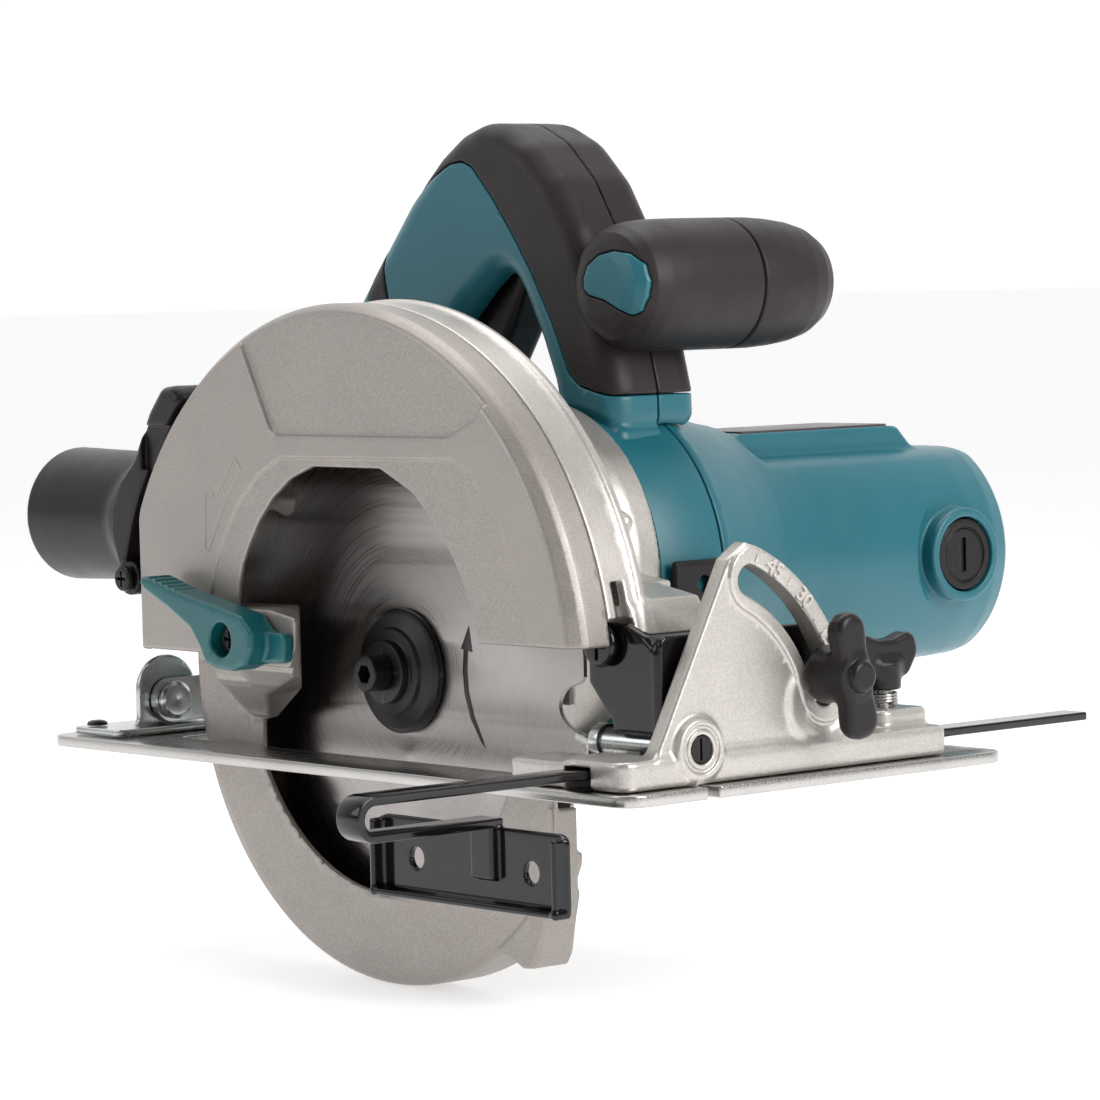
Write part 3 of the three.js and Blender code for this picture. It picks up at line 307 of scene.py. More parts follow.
def turned(name, prof, axis, c, body, mat, nodes=(), n=72, bev=0.3, closed=False, link=True):
    """A turned piece: profile [(radius, along)], rounded corners, spun about an axis through c."""
    p = fillet(list(prof), bev, 3) if bev else list(prof)
    if not closed: p = [q for q in p]
    bm = bmesh.new(); rings = []
    for r, a in p:
        if r <= 0.011: rings.append([bm.verts.new((0, 0, a / 1000))])
        else: rings.append([bm.verts.new((r / 1000 * math.cos(2 * math.pi * k / n), r / 1000 * math.sin(2 * math.pi * k / n), a / 1000)) for k in range(n)])
    m = len(rings)
    for i in range(m if closed else m - 1):
        A, B = rings[i], rings[(i + 1) % m]
        if len(A) == 1 and len(B) == 1: continue
        for k in range(n):
            k2 = (k + 1) % n
            if len(A) == 1: bm.faces.new((A[0], B[k], B[k2]))
            elif len(B) == 1: bm.faces.new((A[k], A[k2], B[0]))
            else: bm.faces.new((A[k], A[k2], B[k2], B[k]))
    bmesh.ops.remove_doubles(bm, verts=bm.verts, dist=1e-7)
    bmesh.ops.recalc_face_normals(bm, faces=bm.faces)
    for q in bm.faces: q.smooth = True
    if axis == "y": M = Matrix(((1, 0, 0, c[0] / 1000), (0, 0, 1, -MID / 1000), (0, -1, 0, c[1] / 1000), (0, 0, 0, 1)))
    elif axis == "x": M = Matrix(((0, 0, 1, 0), (1, 0, 0, (c[0] - MID) / 1000), (0, 1, 0, c[1] / 1000), (0, 0, 0, 1)))
    else: M = Matrix(((1, 0, 0, c[0] / 1000), (0, 1, 0, (c[1] - MID) / 1000), (0, 0, 1, 0), (0, 0, 0, 1)))
    bm.transform(M)
    if M.to_3x3().determinant() < 0: bmesh.ops.reverse_faces(bm, faces=bm.faces)
    me = bpy.data.meshes.new(name); bm.to_mesh(me); bm.free()
    o = bpy.data.objects.new(name, me); scene.collection.objects.link(o); sharp(o, 30)
    if link: place(o, body, mat, nodes)
    return o
def wire(name, pts, r, body, mat, nodes=(), cyclic=False, res=6):
    cu = bpy.data.curves.new(name, "CURVE"); cu.dimensions = "3D"; cu.bevel_depth = r / 1000; cu.bevel_resolution = res; cu.use_fill_caps = True
    sp = cu.splines.new("POLY"); sp.points.add(len(pts) - 1)
    for k, q in enumerate(pts): sp.points[k].co = (q[0] / 1000, (q[1] - MID) / 1000, q[2] / 1000, 1)
    sp.use_cyclic_u = cyclic
    o = bpy.data.objects.new(name, cu); scene.collection.objects.link(o)
    bpy.context.view_layer.update()
    me = bpy.data.meshes.new_from_object(o.evaluated_get(bpy.context.evaluated_depsgraph_get())); me.name = name
    bpy.data.objects.remove(o); bpy.data.curves.remove(cu)
    me.polygons.foreach_set("use_smooth", np.ones(len(me.polygons), bool))
    o = bpy.data.objects.new(name, me); scene.collection.objects.link(o)
    return place(o, body, mat, nodes)

# ------------------------------------------------------------------ driving dimensions, as on the part
SILV, BODY = "silver_paint", "saw_body"
MX, MZ = 20.0, 54.0             # motor axis
TY, TZ = -3.0, 13.4             # bevel axis
DX, DZ = 100.0, 41.0            # depth axis
LY, LZ = TY + 49 * math.cos(0.358), TZ + 49 * math.sin(0.358)   # bevel lock
BX0, BX1, BY0, BY1, BT = -137.6, 135.0, -33.0, 113.0, 3.4
SX0, SX1, SY0, SY1 = -97.0, 97.0, -12.0, 33.0
GR = 150.0                      # the depth guide about the depth axis
KX, KZ = 50.0, 139.0            # front knob
HUB = (-37.0, 38.0)             # guard lever's pivot
OPENING = fillet([(-47, 15), (-46.6, 44), (-45.6, 52), (-43.6, 58.5), (-40.5, 64), (-35, 72), (-28, 79), (-19, 85), (-8.1, 88.8, 1.5), (23.2, 88.7, 1.5), (38, 82), (50, 71.5), (58.5, 59), (63, 50), (65.5, 40), (65.5, 15)], 9, 4)
OUTER = [(50, 96), (49.6, 108), (46, 122), (40, 139), (33, 156), (24, 170.5), (12, 182), (0, 187.6), (-10, 188.6), (-20, 185.6), (-30, 179.4), (-45, 166.4), (-60, 149.6), (-74, 133.4), (-88, 116), (-96, 102), (-98, 90), (-95, 78), (-87, 69), (-76, 65.5), (-28, 65.5)]
INNER = [(-32, 88), (-62, 88), (-69, 92), (-70, 98), (-66, 104), (-56, 113), (-40, 119), (-24, 126.6), (-12, 137), (-2, 144.2), (4, 142), (8, 136), (14.6, 123.7), (20, 111), (23, 98)]
LOOP = fillet([(x, z, 16 if 112 < z < 190 else 8) for x, z in OUTER] + [(x, z, 12) for x, z in INNER], 8, 5)

# ------------------------------------------------------------------ blade case
f = F(-95.2, 108.2, -26.6, -13.3, 31.8, 136.2, 0.45)
d = f.ly([(0, -26.5), (104.0, -26.5), (105.0, -26.1), (107.3, -23.2), (108, -21.4), (108, -13.4), (105, -13.4), (105, -22.6), (102.4, -24), (0, -24)], 0, 28)
d = I(d, f.xz([(-95, 32), (12, 32), (12, 40.8), (120, 40.8), (120, 200), (-95, 200)]), 0.9)
d = U(d, f.box(-95, -92.4, -25.2, -13.4, 32, 50, 0.3), 1.0)
d = D(d, f.xz(OPENING), 0.8)
d = D(d, f.pxz(fillet([(-44, 131), (-39.2, 121.5), (-26.6, 97.9, 5), (54, 97.9, 9), (66.5, 103.0, 6), (74, 113), (76, 160), (-50, 160)], 3), -30, -25.25), 0.8)
d = D(d, f.pxz(fillet([(-61, 10), (-60, 44), (-56.5, 55.7), (-51.2, 66.8), (-44, 77.2), (-34.2, 85.5), (-22.7, 91.2, 4), (56.7, 91.6, 5), (63.3, 88.7), (74, 77), (82, 63), (86, 50), (87, 10)], 8), -30, -25.95), 0.5)
carve("blade_case_skin", f, d, BODY, SILVER, ["blade_case"], adapt=0.006)
wire("case_arrow", [(x, -26.42, z) for x, z in fillet([(-44.7, 91.1), (-41.8, 87.7), (-49.5, 78.5), (-59.2, 62.5), (-60.6, 63.2), (-59.9, 80.3), (-57.6, 81.4), (-55.0, 78.6)], 0.8, 3)], 0.30, BODY, SILVER, cyclic=True)

# ------------------------------------------------------------------ gear housing, the inner half of the case
f = F(-95.2, 109.2, -13.2, 38.8, 0.2, 137.0, 0.5)
rim = fillet([(105, -13.1, 0), (108, -13.1, 0.3), (108, -2.2, 1.5), (108.7, -1.0, 0.8), (108.7, 1.0, 1.2), (105.8, 3.2, 5), (101.2, 5.6, 6), (97.6, 8.6, 5), (95.2, 12.9, 1.5), (0, 12.9, 0), (0, 10.5, 0), (92.5, 10.5, 1), (94.5, 7.5, 1), (103.6, 1.6, 1), (105, -1, 1)], 0.2, 4)
d = f.ly(rim, 0, 28)
d = I(d, f.xz([(-95, 32), (-60, 32), (-60, 20), (62, 20), (62, 31), (86, 40.8), (120, 40.8), (120, 200), (-95, 200)]), 0.8)
d = U(d, f.box(-95, -92.4, -13.1, 12, 32, 50, 0.3), 1.0)
for a in (150, 118, 86, 54, 28):
    ca, sa = math.cos(math.radians(a)), math.sin(math.radians(a))
    d = U(d, f.seg((MX + 44 * ca, 15.5, 55 + 44 * sa), (96 * ca, 12.4, 28 + 96 * sa), 2.4), 3.0)
col = f.ly([(0, 10.5), (44, 10.5), (45.2, 15), (47.6, 22), (49.6, 28), (50.3, 31), (50.3, 38.6), (0, 38.6)], MX, MZ + 1.5)
d = U(d, col, 6.0)
d = U(d, f.cy(27.6, 10.5, 30.4, 0, 28, 2.0), 3.5)
lug = U(f.pxz(fillet([(60, 47.8), (60, 60), (84, 56.5), (88, 56), (88, 47.8)], 1), 10.5, 27, 1.2), f.pxz(fillet([(86, 47.8), (86, 56), (100, 53.6), (105, 52.7), (105, 50.5), (101, 47.8)], 1), 0, 22, 1.0), 1.5)
lug = U(lug, f.pxz(fillet([(87, 54), (87, 36), (92.5, 33.5), (106, 33.5), (108.5, 37), (108.5, 42), (106, 51)], 2), -4.8, 21.8, 0.8), 1.5)
d = U(d, lug, 2.0)
d = D(d, f.cy(26.1, 13.8, 28.2, 0, 28)); d = D(d, f.cy(13.5, 5, 13.9, 0, 28)); d = D(d, f.cy(8.2, 28, 35, 0, 28))
d = D(d, f.cy(46.5, 34.3, 42, MX, MZ + 1.5)); d = D(d, f.cy(9.5, 13.8, 35, MX, MZ))
d = D(d, f.cy(4.4, -10, 30, DX, DZ), 0.4); d = D(d, f.cy(7.6, -14, -4.8, DX, DZ)); d = D(d, f.box(94, 115, -14, -4.8, 30, 48)); d = D(d, f.cy(17.5, -9.9, -5.6, DX, DZ), 0.4)
d = U(d, f.cy(7.5, 12.5, 28, -50, DZ, 0.8), 2.0); d = D(d, f.cy(3.3, 5, 29, -50, DZ))
d = D(d, f.cx(3.4, -45, -16, 21, 58))
d = I(d, f.slab(2, 0.4, 400)); d = D(d, f.box(-60, 110, 31.5, 60, -10, 5.4))
carve("gear_housing_skin", f, d, BODY, CAST, ["gear_housing"], adapt=0.012)

# ------------------------------------------------------------------ lower guard
f = F(-92.2, 77.4, -29.2, 8.2, -64.2, 47.4, 0.45)
d = f.ly([(65, -9.4), (87.5, -9.4), (90.2, -8.9), (91.5, -7.6), (92, -5.6), (92, 8), (19.8, 8), (19.8, 6.2), (90, 6.2), (90, -5.4), (89.2, -7.0), (87.4, -7.6), (65, -7.6)], 0, 28)
d = I(d, f.xz([(0, 28)] + arc(0, 28, 140, -22, -192, 20)), 0.5)
d = U(d, I(f.ly([(19.8, 6.2), (26, 6.2), (26, 8), (19.8, 8)], 0, 28), f.slab(1, 6.2, 8)))
nose = f.pxz(fillet(arc(0, 28, 91, -38, -58, 6) + [(56, -50.5), (61, -53.0), (65.5, -52.6), (69.0, -48.5), (71.5, -40), (75, -31)], 2.0), -9.4, 8, 1.6)
d = U(d, D(nose, f.ry(91, 0, 28)), 1.2)
LUG = fillet([(-62, 12), (-62, 46, 3), (-26.7, 46.6), (-14.5, 44.6, 1.5), (-15, 36), (-19, 27), (-42, 20), (-52, 12)], 2)
slope = f.yz([(-29.5, 30.5), (-8.4, 9.4), (-8, 9.4), (-8, 60), (-29.5, 60)])
slab_ = I(f.pxz(LUG, -29, -27.3, 0.5), f.slab(2, 30, 90), 0.4)
neck = I(I(f.pxz(LUG, -27.4, -22), f.ry(46.2, 0, 28), 0.5), slope)
block = I(f.pxz(LUG, -23.2, -8.8, 0.8), slope, 0.8)
OPENED = f.xy([(-80, -32), (-14, -32), (-14, -27.3), (-38, -9), (-38, 10), (-80, 10)])
lug = U(slab_, I(U(neck, block, 0.5), OPENED, 0.6), 0.4)
d = U(d, lug, 0.8)
d = U(d, I(f.xz(arc(0, 28, 66.5, -150, -192, 10) + arc(0, 28, 58.5, -192, -168, 8)), f.slab(1, -9.4, -7.6), 0.3), 0.8)
d = U(d, I(f.xz([(-64, 9.5), (-66, 29.5), (-40, 29.5), (-40, 21), (-52, 12)]), f.slab(1, -9.4, -7.6), 0.3), 0.6)
d = D(d, f.xy([(50, 9), (80, 0), (80, 20), (50, 20)]), 0.5)
d = U(d, f.box(75.2, 78, -9.3, -0.8, -33, -6.5), 0.9)
d = I(d, f.slab(0, -120, 77.0), 0.7)
d = D(d, f.cy(3, -40, -5, *HUB)); d = D(d, f.pxz([(-27, 30), (-27, 43), (-18, 43), (-18, 33)], -25.8, -5), 0.4)
carve("lower_guard_skin", f, d, "guard", SILVER, ["lower_guard"], adapt=0.004)

# ------------------------------------------------------------------ guard lever
f = F(-78.6, -14.4, -39.6, -29.2, 28.4, 56.5, 0.3)
ol = fillet([(-77.6, 53.4), (-75.4, 51.2), (-63.9, 46.5), (-52.5, 40.7), (-48, 35.2), (-45.4, 30.9), (-40, 29.3), (-32.2, 29.0), (-25.4, 31.2), (-22.5, 36), (-22.5, 40.8), (-27.7, 45.4), (-36, 47.3), (-59.7, 51.7), (-73.2, 55.4), (-76.8, 55.3)], 1.6)
d = f.pxz(ol, -39.5, -29.3, 1.6)
for k in range(6):
    x = -75.5 + k * 3.1; d = D(d, f.cy(0.9, -40, -28, x, 56.2 - (k * 3.1) * 0.24), 0.25)
d = U(d, f.pxz(rrect(-31, -14.7, 31.6, 40.4, 2.0), -32.9, -29.35, 0.7), 1.2)
d = D(d, f.cy(5.1, -45, -33.2, *HUB), 0.7); d = D(d, f.cy(2.8, -45, -20, *HUB))
carve("guard_lever_skin", f, d, "guard", LEVER, ["guard_lever"])
def screw(name, f, axis, c, head, R, body, mat, nodes=(), slotw=0.9, depth=1.6, shank=None):
    """Pan head with a cross recess. head = (tip, seat) along the axis; the tip faces the tool."""
    tip, seat = head; lo, hi = min(tip, seat), max(tip, seat)
    cyl = f.cy if axis == "y" else f.cx
    d = cyl(R, lo, hi, *c, 0.8 * min(R * 0.3, hi - lo))
    bx = (lambda a0, a1, b0, b1, l0, l1: f.box(a0, a1, l0, l1, b0, b1)) if axis == "y" else (lambda a0, a1, b0, b1, l0, l1: f.box(l0, l1, a0, a1, b0, b1))
    s = 1 if seat > tip else -1; l0, l1 = sorted((tip - s * 1, tip + s * depth))
    w, L = slotw / 2, R * 0.62
    d = D(d, U(bx(c[0] - L, c[0] + L, c[1] - w, c[1] + w, l0, l1), bx(c[0] - w, c[0] + w, c[1] - L, c[1] + L, l0, l1)), 0.15)
    if shank: d = U(d, cyl(shank[0], min(shank[1:]), max(shank[1:]), *c))
    return carve(name, f, d, body, mat, nodes)
f = F(HUB[0] - 5, HUB[0] + 5, -36.6, -28.9, HUB[1] - 5, HUB[1] + 5, 0.2)
screw("guard_lever_screw_head", f, "y", HUB, (-36.2, -33.3), 4.3, "guard", OXIDE, ["guard_lever_screw"], shank=(2.5, -33.6, -29))

# ------------------------------------------------------------------ blade, flanges and bolt
pts, tips = [], []
for i in range(10):
    a = -10.5 + i * 36
    for dd, r in [(-24, 79.9), (-20, 80.2), (-16, 80.5), (-12, 80.9), (-8, 81.4), (-4, 81.8), (-1.9, 81.9), (-1.5, 77.2), (0.3, 77.0), (0.8, 75.4), (1.2, 73.4), (2.2, 71.3), (3.3, 70.0), (4.6, 69.3), (6.0, 69.3), (7.4, 70), (8.6, 71.2), (9.4, 72.8), (10.0, 74.6), (10.4, 76.6), (11.0, 78.6)]:
        pts.append((r * math.cos(math.radians(a + dd)), 28 + r * math.sin(math.radians(a + dd))))
    tips.append([(r * math.cos(math.radians(a + dd)), 28 + r * math.sin(math.radians(a + dd))) for dd, r in [(-1.85, 82.2), (0.1, 82.5), (0.55, 77.2), (-1.45, 77.2)]])
prism("saw_blade_plate", pts, [arc(0, 28, 10, 0, 357, 119)], "xz", 0.3, 1.7, 0.12, "blade_spindle", BLADE_M, ["saw_blade"])
t0 = [prism("tip%d" % i, t, [], "xz", 0.02, 2.0, 0.12, None, None, link=False) for i, t in enumerate(tips)]
bpy.ops.object.select_all(action="DESELECT")
for o in t0: o.select_set(True)
bpy.context.view_layer.objects.active = t0[0]; bpy.ops.object.join(); t0[0].name = "blade_carbide_tips"
place(t0[0], "blade_spindle", GROUND)
ah = [(29.9, 42.6), (26.0, 35.6), (27.2, 35.4), (26.6, 29.0), (27.2, 22.4), (29.6, 15.6), (34.2, 8.8), (36.0, 7.4), (35.2, 9.4), (31.4, 16.2), (29.2, 22.8), (28.6, 29.0), (29.2, 35.0), (31.2, 34.8)]
prism("blade_turn_arrow", ah, [], "xz", 0.22, 0.36, 0.02, "blade_spindle", OXIDE, segs=1)
turned("outer_flange_disc", [(3.7, -0.1), (18.4, -0.1), (18.4, -2.2), (16.8, -3.1), (13.0, -4.1), (12.3, -5.2), (9.2, -5.6), (9.2, -8.4), (3.7, -8.4)], "y", (0, 28), "blade_spindle", OXIDE, ["outer_flange"], n=96, bev=0.45, closed=True)
f = F(-5.6, 5.6, -15.4, 12.2, 22.4, 33.6, 0.22)
d = U(f.cy(5.3, -15.2, -8.7, 0, 28, 0.6), f.cy(3.3, -8.9, 12, 0, 28)); d = D(d, f.pxz([(2.9 * math.cos(math.radians(60 * k)), 28 + 2.9 * math.sin(math.radians(60 * k))) for k in range(6)], -20, -10.5), 0.2)
carve("blade_bolt_head", f, d, "blade_spindle", OXIDE, ["blade_bolt"])

# ------------------------------------------------------------------ motor housing
f = F(-33.2, 73.2, 62.3, 201.2, 0.6, 106.8, 0.55)
d = f.ly([(0, 62.45), (51.9, 62.45), (51.8, 64.6), (51.2, 66.2), (49.3, 72.5), (46.4, 82), (44.1, 90.5), (42.9, 96), (42.0, 103), (41.3, 112), (40.7, 135), (40.0, 160), (38.9, 180), (37.6, 190), (35.6, 196.4), (32.6, 199.8), (28, 201), (0, 201)], MX, MZ)
d = I(d, U(f.slab(1, 0, 101), f.slab(2, 20.4, 86.0), 4), 3.5)
pad = I(f.pyz(fillet([(94, 70), (94, 82), (101, 93.4), (104, 94), (165, 94), (169, 93.2), (178, 84), (182, 70)], 3), 2.4, 37.6, 2.2), f.slab(2, 60, 94), 0.6)
d = U(d, pad, 2.5)
d = D(d, f.box(4, 36, 103, 167, 93.3, 99, 0.2), 0.2)
for x0, x1, q0, q1 in ((45, 62.6, 57.4, 75), (-22.6, -5, -40, -17.4)):
    d = D(d, f.cx(17.6, q0, q1, 172, MZ), 1.2)
    d = U(d, f.cx(14.4, x0, x1, 172, MZ, 0.9), 0.7)
shell = f.ly([(0, 60), (50, 60), (49.8, 62.45), (47.2, 70), (44.4, 79), (41, 91.5), (39, 104), (38.0, 130), (36.9, 164), (34.6, 190), (31, 197.8), (0, 197.8)], MX, MZ)
shell = I(shell, U(f.slab(1, 0, 101), f.slab(2, 23, 83.6)))
d = D(d, shell)
d = U(d, f.cx(14.0, 50, 56.5, 172, MZ)); d = U(d, f.cx(14.0, -16.8, -10, 172, MZ))
d = D(d, f.cx(11.5, 56.5, 65, 172, MZ), 0.5); d = D(d, f.cx(11.5, -25, -16.5, 172, MZ), 0.5); d = D(d, f.cx(6.3, -25, 65, 172, MZ))
d = U(d, I(f.ly([(11.1, 181), (13.5, 181), (13.5, 198.5), (11.1, 198.5)], MX, MZ), f.slab(1, 181, 198.5)))
for i in range(-2, 3):
    for s in (-1, 1): d = D(d, f.box(MX + s * 22 - 6.5, MX + s * 22 + 6.5, 194, 204, MZ + i * 6.2 - 1.3, MZ + i * 6.2 + 1.3, 1.2), 0.4)
for i in range(4): d = D(d, f.box(MX - 20 + i * 11, MX - 14 + i * 11, 68, 78, -5, 20, 1.2), 0.4)
d = D(d, f.box(-60, 110, 50, 100, -10, 5.4), 1.0)
d = I(d, f.slab(1, 62.45, 201))
carve("motor_housing_skin", f, d, BODY, TEAL, ["motor_housing"])
prism("rating_plate_blank", rrect(4.6, 35.4, 103.6, 166.4, 2), [], "xy", 93.35, 94.15, 0.12, BODY, LABEL, ["rating_plate"])
for nm, a, b, sgn, nd in (("brush_cap_disc_front", 56.9, 61.9, 1, "brush_cap_front"), ("brush_cap_disc_rear", -21.9, -16.9, -1, "brush_cap_rear")):
    f = F(a - 0.1, b + 0.1, 160.8, 183.2, MZ - 11.2, MZ + 11.2, 0.28)
    d = f.cx(11.0, a, b, 172, MZ, 0.5); e0, e1 = (b - 0.7, b + 3) if sgn > 0 else (a - 3, a + 0.7)
    ringg = I(np.abs(np.sqrt((f.Y - 172) ** 2 + (f.Z - MZ) ** 2) - 8.2) - 0.35, f.slab(0, e0, e1)); d = D(d, ringg, 0.12)
    d = D(d, I(f.cx(8.0, e0 + (0.3 if sgn > 0 else 0), e1 - (0 if sgn > 0 else 0.3), 172, MZ), f.slab(0, e0 + (0.35 if sgn > 0 else -9), e1 + (9 if sgn > 0 else -0.35))), 0.1)
    d = D(d, f.box(b - 1.8 if sgn > 0 else a - 3, b + 3 if sgn > 0 else a + 1.8, 171.1, 172.9, MZ - 5.2, MZ + 5.2), 0.15)
    carve(nm, f, d, BODY, BLACK, [nd])

# ------------------------------------------------------------------ main handle: two shells with soft overmould
LEFT = [(-17.8, 177.2), (-22.5, 176.7), (-34, 171.9), (-48.1, 163.7), (-55.8, 156, 2), (-56.5, 152), (-54.9, 141.4), (-53.1, 133.4), (-50, 110), (-46, 60)]
RIGHT = [(60, 60), (60, 107.2), (46.4, 107.2, 1), (35, 110), (30.3, 113.5), (27.6, 119.2), (23.1, 128.8), (13.8, 144.2), (6.3, 154.6), (-3.3, 166.4), (-12.1, 175.4, 3), (-16.6, 177.2, 2)]
ZONE = fillet(LEFT + RIGHT, 4)
STRIP = fillet([(-120, 135), (-74, 147.5), (-66, 150.5, 3), (-63.4, 146.2), (-64, 133.3), (-66, 110), (-68, 60), (-120, 60)], 3)
TRENCH = fillet([(-4, 153), (3, 150), (4, 140), (-8, 131), (-26, 115), (-44, 105), (-47, 114), (-44.5, 132), (-36, 142), (-22, 150)], 2)
BAY = [(2, 178), (14, 166), (6, 152), (-24, 143), (-36, 128), (-46, 138), (-30, 160), (-14, 177)]
f = F(-98.6, 50.8, 39.6, 58.2, 58, 189.2, 0.6)
body = f.pxz(LOOP, 40, 76, 8.0)
body = U(body, f.pxz(fillet([(-80, 66), (-80, 92), (-30, 104.6, 2), (30, 104.6, 2), (51, 97.5), (51, 60)], 4), 40.6, 76, 4.5), 2.0)
left = I(body, f.slab(1, 30, 57.85))
left = D(D(D(left, f.cy(48.2, 30, 90, MX, MZ), 0.4), f.pxz(TRENCH, 49, 67), 0.5), f.pxz(BAY, 46, 70), 0.4)
zone, strip = f.xz(ZONE), f.xz(STRIP)
hard = np.minimum(zone, strip)
d = I(left + 0.12, hard + 0.18, 0.35)
carve("handle_blade_side_hard", f, d, BODY, TEAL, ["handle_shell_blade_side"], biggest=False)
d = I(left, -hard + 0.15, 0.6)
carve("handle_blade_side_soft", f, d, BODY, SOFT, ["handle_shell_blade_side"], biggest=False)
turned("handle_collar", [(46.8, 38.85), (50.5, 38.85), (51.9, 61.85), (48.6, 61.85)], "y", (MX, MZ), BODY, TEAL, ["handle_shell_blade_side"], n=128, bev=0.5, closed=True)
f = F(-98.6, 50.8, 58.0, 76.4, 58, 189.2, 0.6)
body = f.pxz(LOOP, 40, 75.5, 8.0)
right = I(body, f.slab(1, 58.15, 90))
env = f.ly([(0, 38), (51.1, 38), (52.5, 62.2), (52.1, 66.5), (49.9, 72.5), (47.0, 82.5), (44, 93.5), (41.9, 102), (0, 102)], MX, MZ)
right = D(D(D(right, env, 0.4), f.pxz(TRENCH, 49, 67), 0.5), f.pxz(BAY, 46, 70), 0.4)
right = D(right, f.cy(5.2, 60, 90, -10, 162), 0.5)
low = f.xz([(-24, 60), (-24, 107.2), (60, 107.2), (60, 60)])
d = I(right + 0.1, low + 0.18, 0.35)
carve("handle_motor_side_hard", f, d, BODY, TEAL, ["handle_shell_motor_side"], biggest=False)
d = I(right, -low + 0.15, 0.6)
for cxz in ((-78, 92), (-62, 134), (-1, 178), (34, 122)): d = D(d, f.cy(3.4, 73.2, 80, *cxz), 0.4)
carve("handle_motor_side_soft", f, d, BODY, SOFT, ["handle_shell_motor_side"], biggest=False)
for i, cxz in enumerate(((-78, 92), (-62, 134), (-1, 178), (34, 122))):
    f = F(cxz[0] - 3.4, cxz[0] + 3.4, 72.6, 75.2, cxz[1] - 3.4, cxz[1] + 3.4, 0.2)
    screw("handle_screw_%d" % i, f, "y", cxz, (75.0, 72.9), 2.9, BODY, OXIDE, ["handle_shell_motor_side"], slotw=0.7, depth=1.2)

# ------------------------------------------------------------------ front grip
leg = fillet([(-20, 96), (-20, 180), (-10, 188.9), (0.3, 187.8), (12.3, 182.1), (24.3, 170.6), (33.3, 156.1), (40.3, 139.1), (46.3, 122.1), (49.9, 108.1), (50.3, 96)], 2)
f = F(30.2, 69.8, 36.8, 83.9, 119.2, 158.8, 0.35)
k = f.ly([(0, 37.45), (8.5, 37.45), (12.5, 38.2), (15.6, 40.0), (17.6, 43), (18.7, 47.5), (19.2, 54), (19.4, 66), (19.4, 82.6), (18.9, 83.6), (0, 83.6)], KX, KZ)
base_k = k
DSH = fillet([(40.6, 141.3), (42.4, 145), (47.4, 148), (53.8, 149.2), (60.0, 148.3), (64.6, 145.2), (66.2, 140.2), (65.6, 135.9), (63.4, 131.4), (60.4, 130.4), (56.0, 132.2), (49.6, 135.0), (43.2, 136.4), (40.9, 138.1)], 1.5)
k = D(k, f.pxz(leg, 39.7, 75.8), 0.3)
pocket = I(I(f.xz(DSH) - 0.2, -(base_k + 1.3)), f.slab(1, 30, 46))
k = D(k, pocket, 0.25)
carve("front_grip_skin", f, k, BODY, SOFT, ["front_grip"])
inl = I(I(I(base_k - 0.15, f.xz(DSH) + 0.12, 0.45), -(base_k + 1.2)), f.slab(1, 37.0, 46))
carve("front_grip_inlay_skin", f, inl, BODY, TEAL, ["front_grip_inlay"])
turned("front_grip_end_skin", [(0, 84.0), (18.9, 84.0), (19.4, 84.6), (19.35, 92), (18.9, 99), (18.0, 106), (16.6, 111.5), (14.2, 116), (10.6, 119), (6, 120.3), (0, 120.5)], "y", (KX, KZ), BODY, SOFT, ["front_grip_end"], n=96, bev=1.0)

# ------------------------------------------------------------------ trigger, buttons, inlet
f = F(-38.4, -0.6, 50.2, 65.8, 108, 149.2, 0.35)
d = f.pxz(fillet([(-6, 148.5), (-1.5, 147), (-1, 140.5), (-8, 127), (-16, 115.5), (-27, 108.5), (-33, 108.5), (-36, 113), (-38, 121), (-26, 134), (-16, 146)], 3), 50.5, 65.5, 2.6)
d = D(d, f.cy(1.8, 40, 80, -5, 145.5))
carve("trigger_blade", f, d, "trigger_lever", BLACK, ["trigger"])
turned("lock_off_cap", [(0, 68.7), (4.8, 68.7), (4.8, 78.4), (4.2, 79.2), (2.6, 79.0), (0, 78.7)], "y", (-10, 162), "lock_off", BLACK, ["lock_off_button"], n=48, bev=0.35)
turned("shaft_lock_cap", [(0, -42.9), (5.4, -42.9), (6.4, -42.0), (6.4, -38.3), (3.0, -38.1), (3.0, -27.1), (0, -27.1)], "x", (21, 58), "shaft_lock", BLACK, ["shaft_lock_button"], n=48, bev=0.3)
turned("cord_inlet_sleeve", [(4, -111.9), (7.0, -111.9), (7.5, -111.2), (7.7, -109.5), (6.9, -109.2), (6.9, -108.2), (8.0, -107.9), (8.2, -106), (7.3, -105.6), (7.3, -104.5), (8.4, -104.1), (8.4, -98.7), (0.01, -98.7), (0.01, -101), (4, -101)], "x", (58, 88), BODY, SOFT, ["cord_inlet"], n=56, bev=0.2, closed=True)
f = F(72.2, 74.8, 40.3, 61.2, 46.8, 60.2, 0.2)
d = D(f.box(72.4, 74.6, 40.6, 60.9, 47.1, 59.9, 1.0), f.cx(2.4, 70, 77, 51.8, 53.0), 0.3)
carve("wrench_holder_plate", f, d, BODY, BLACK, ["wrench_holder"])

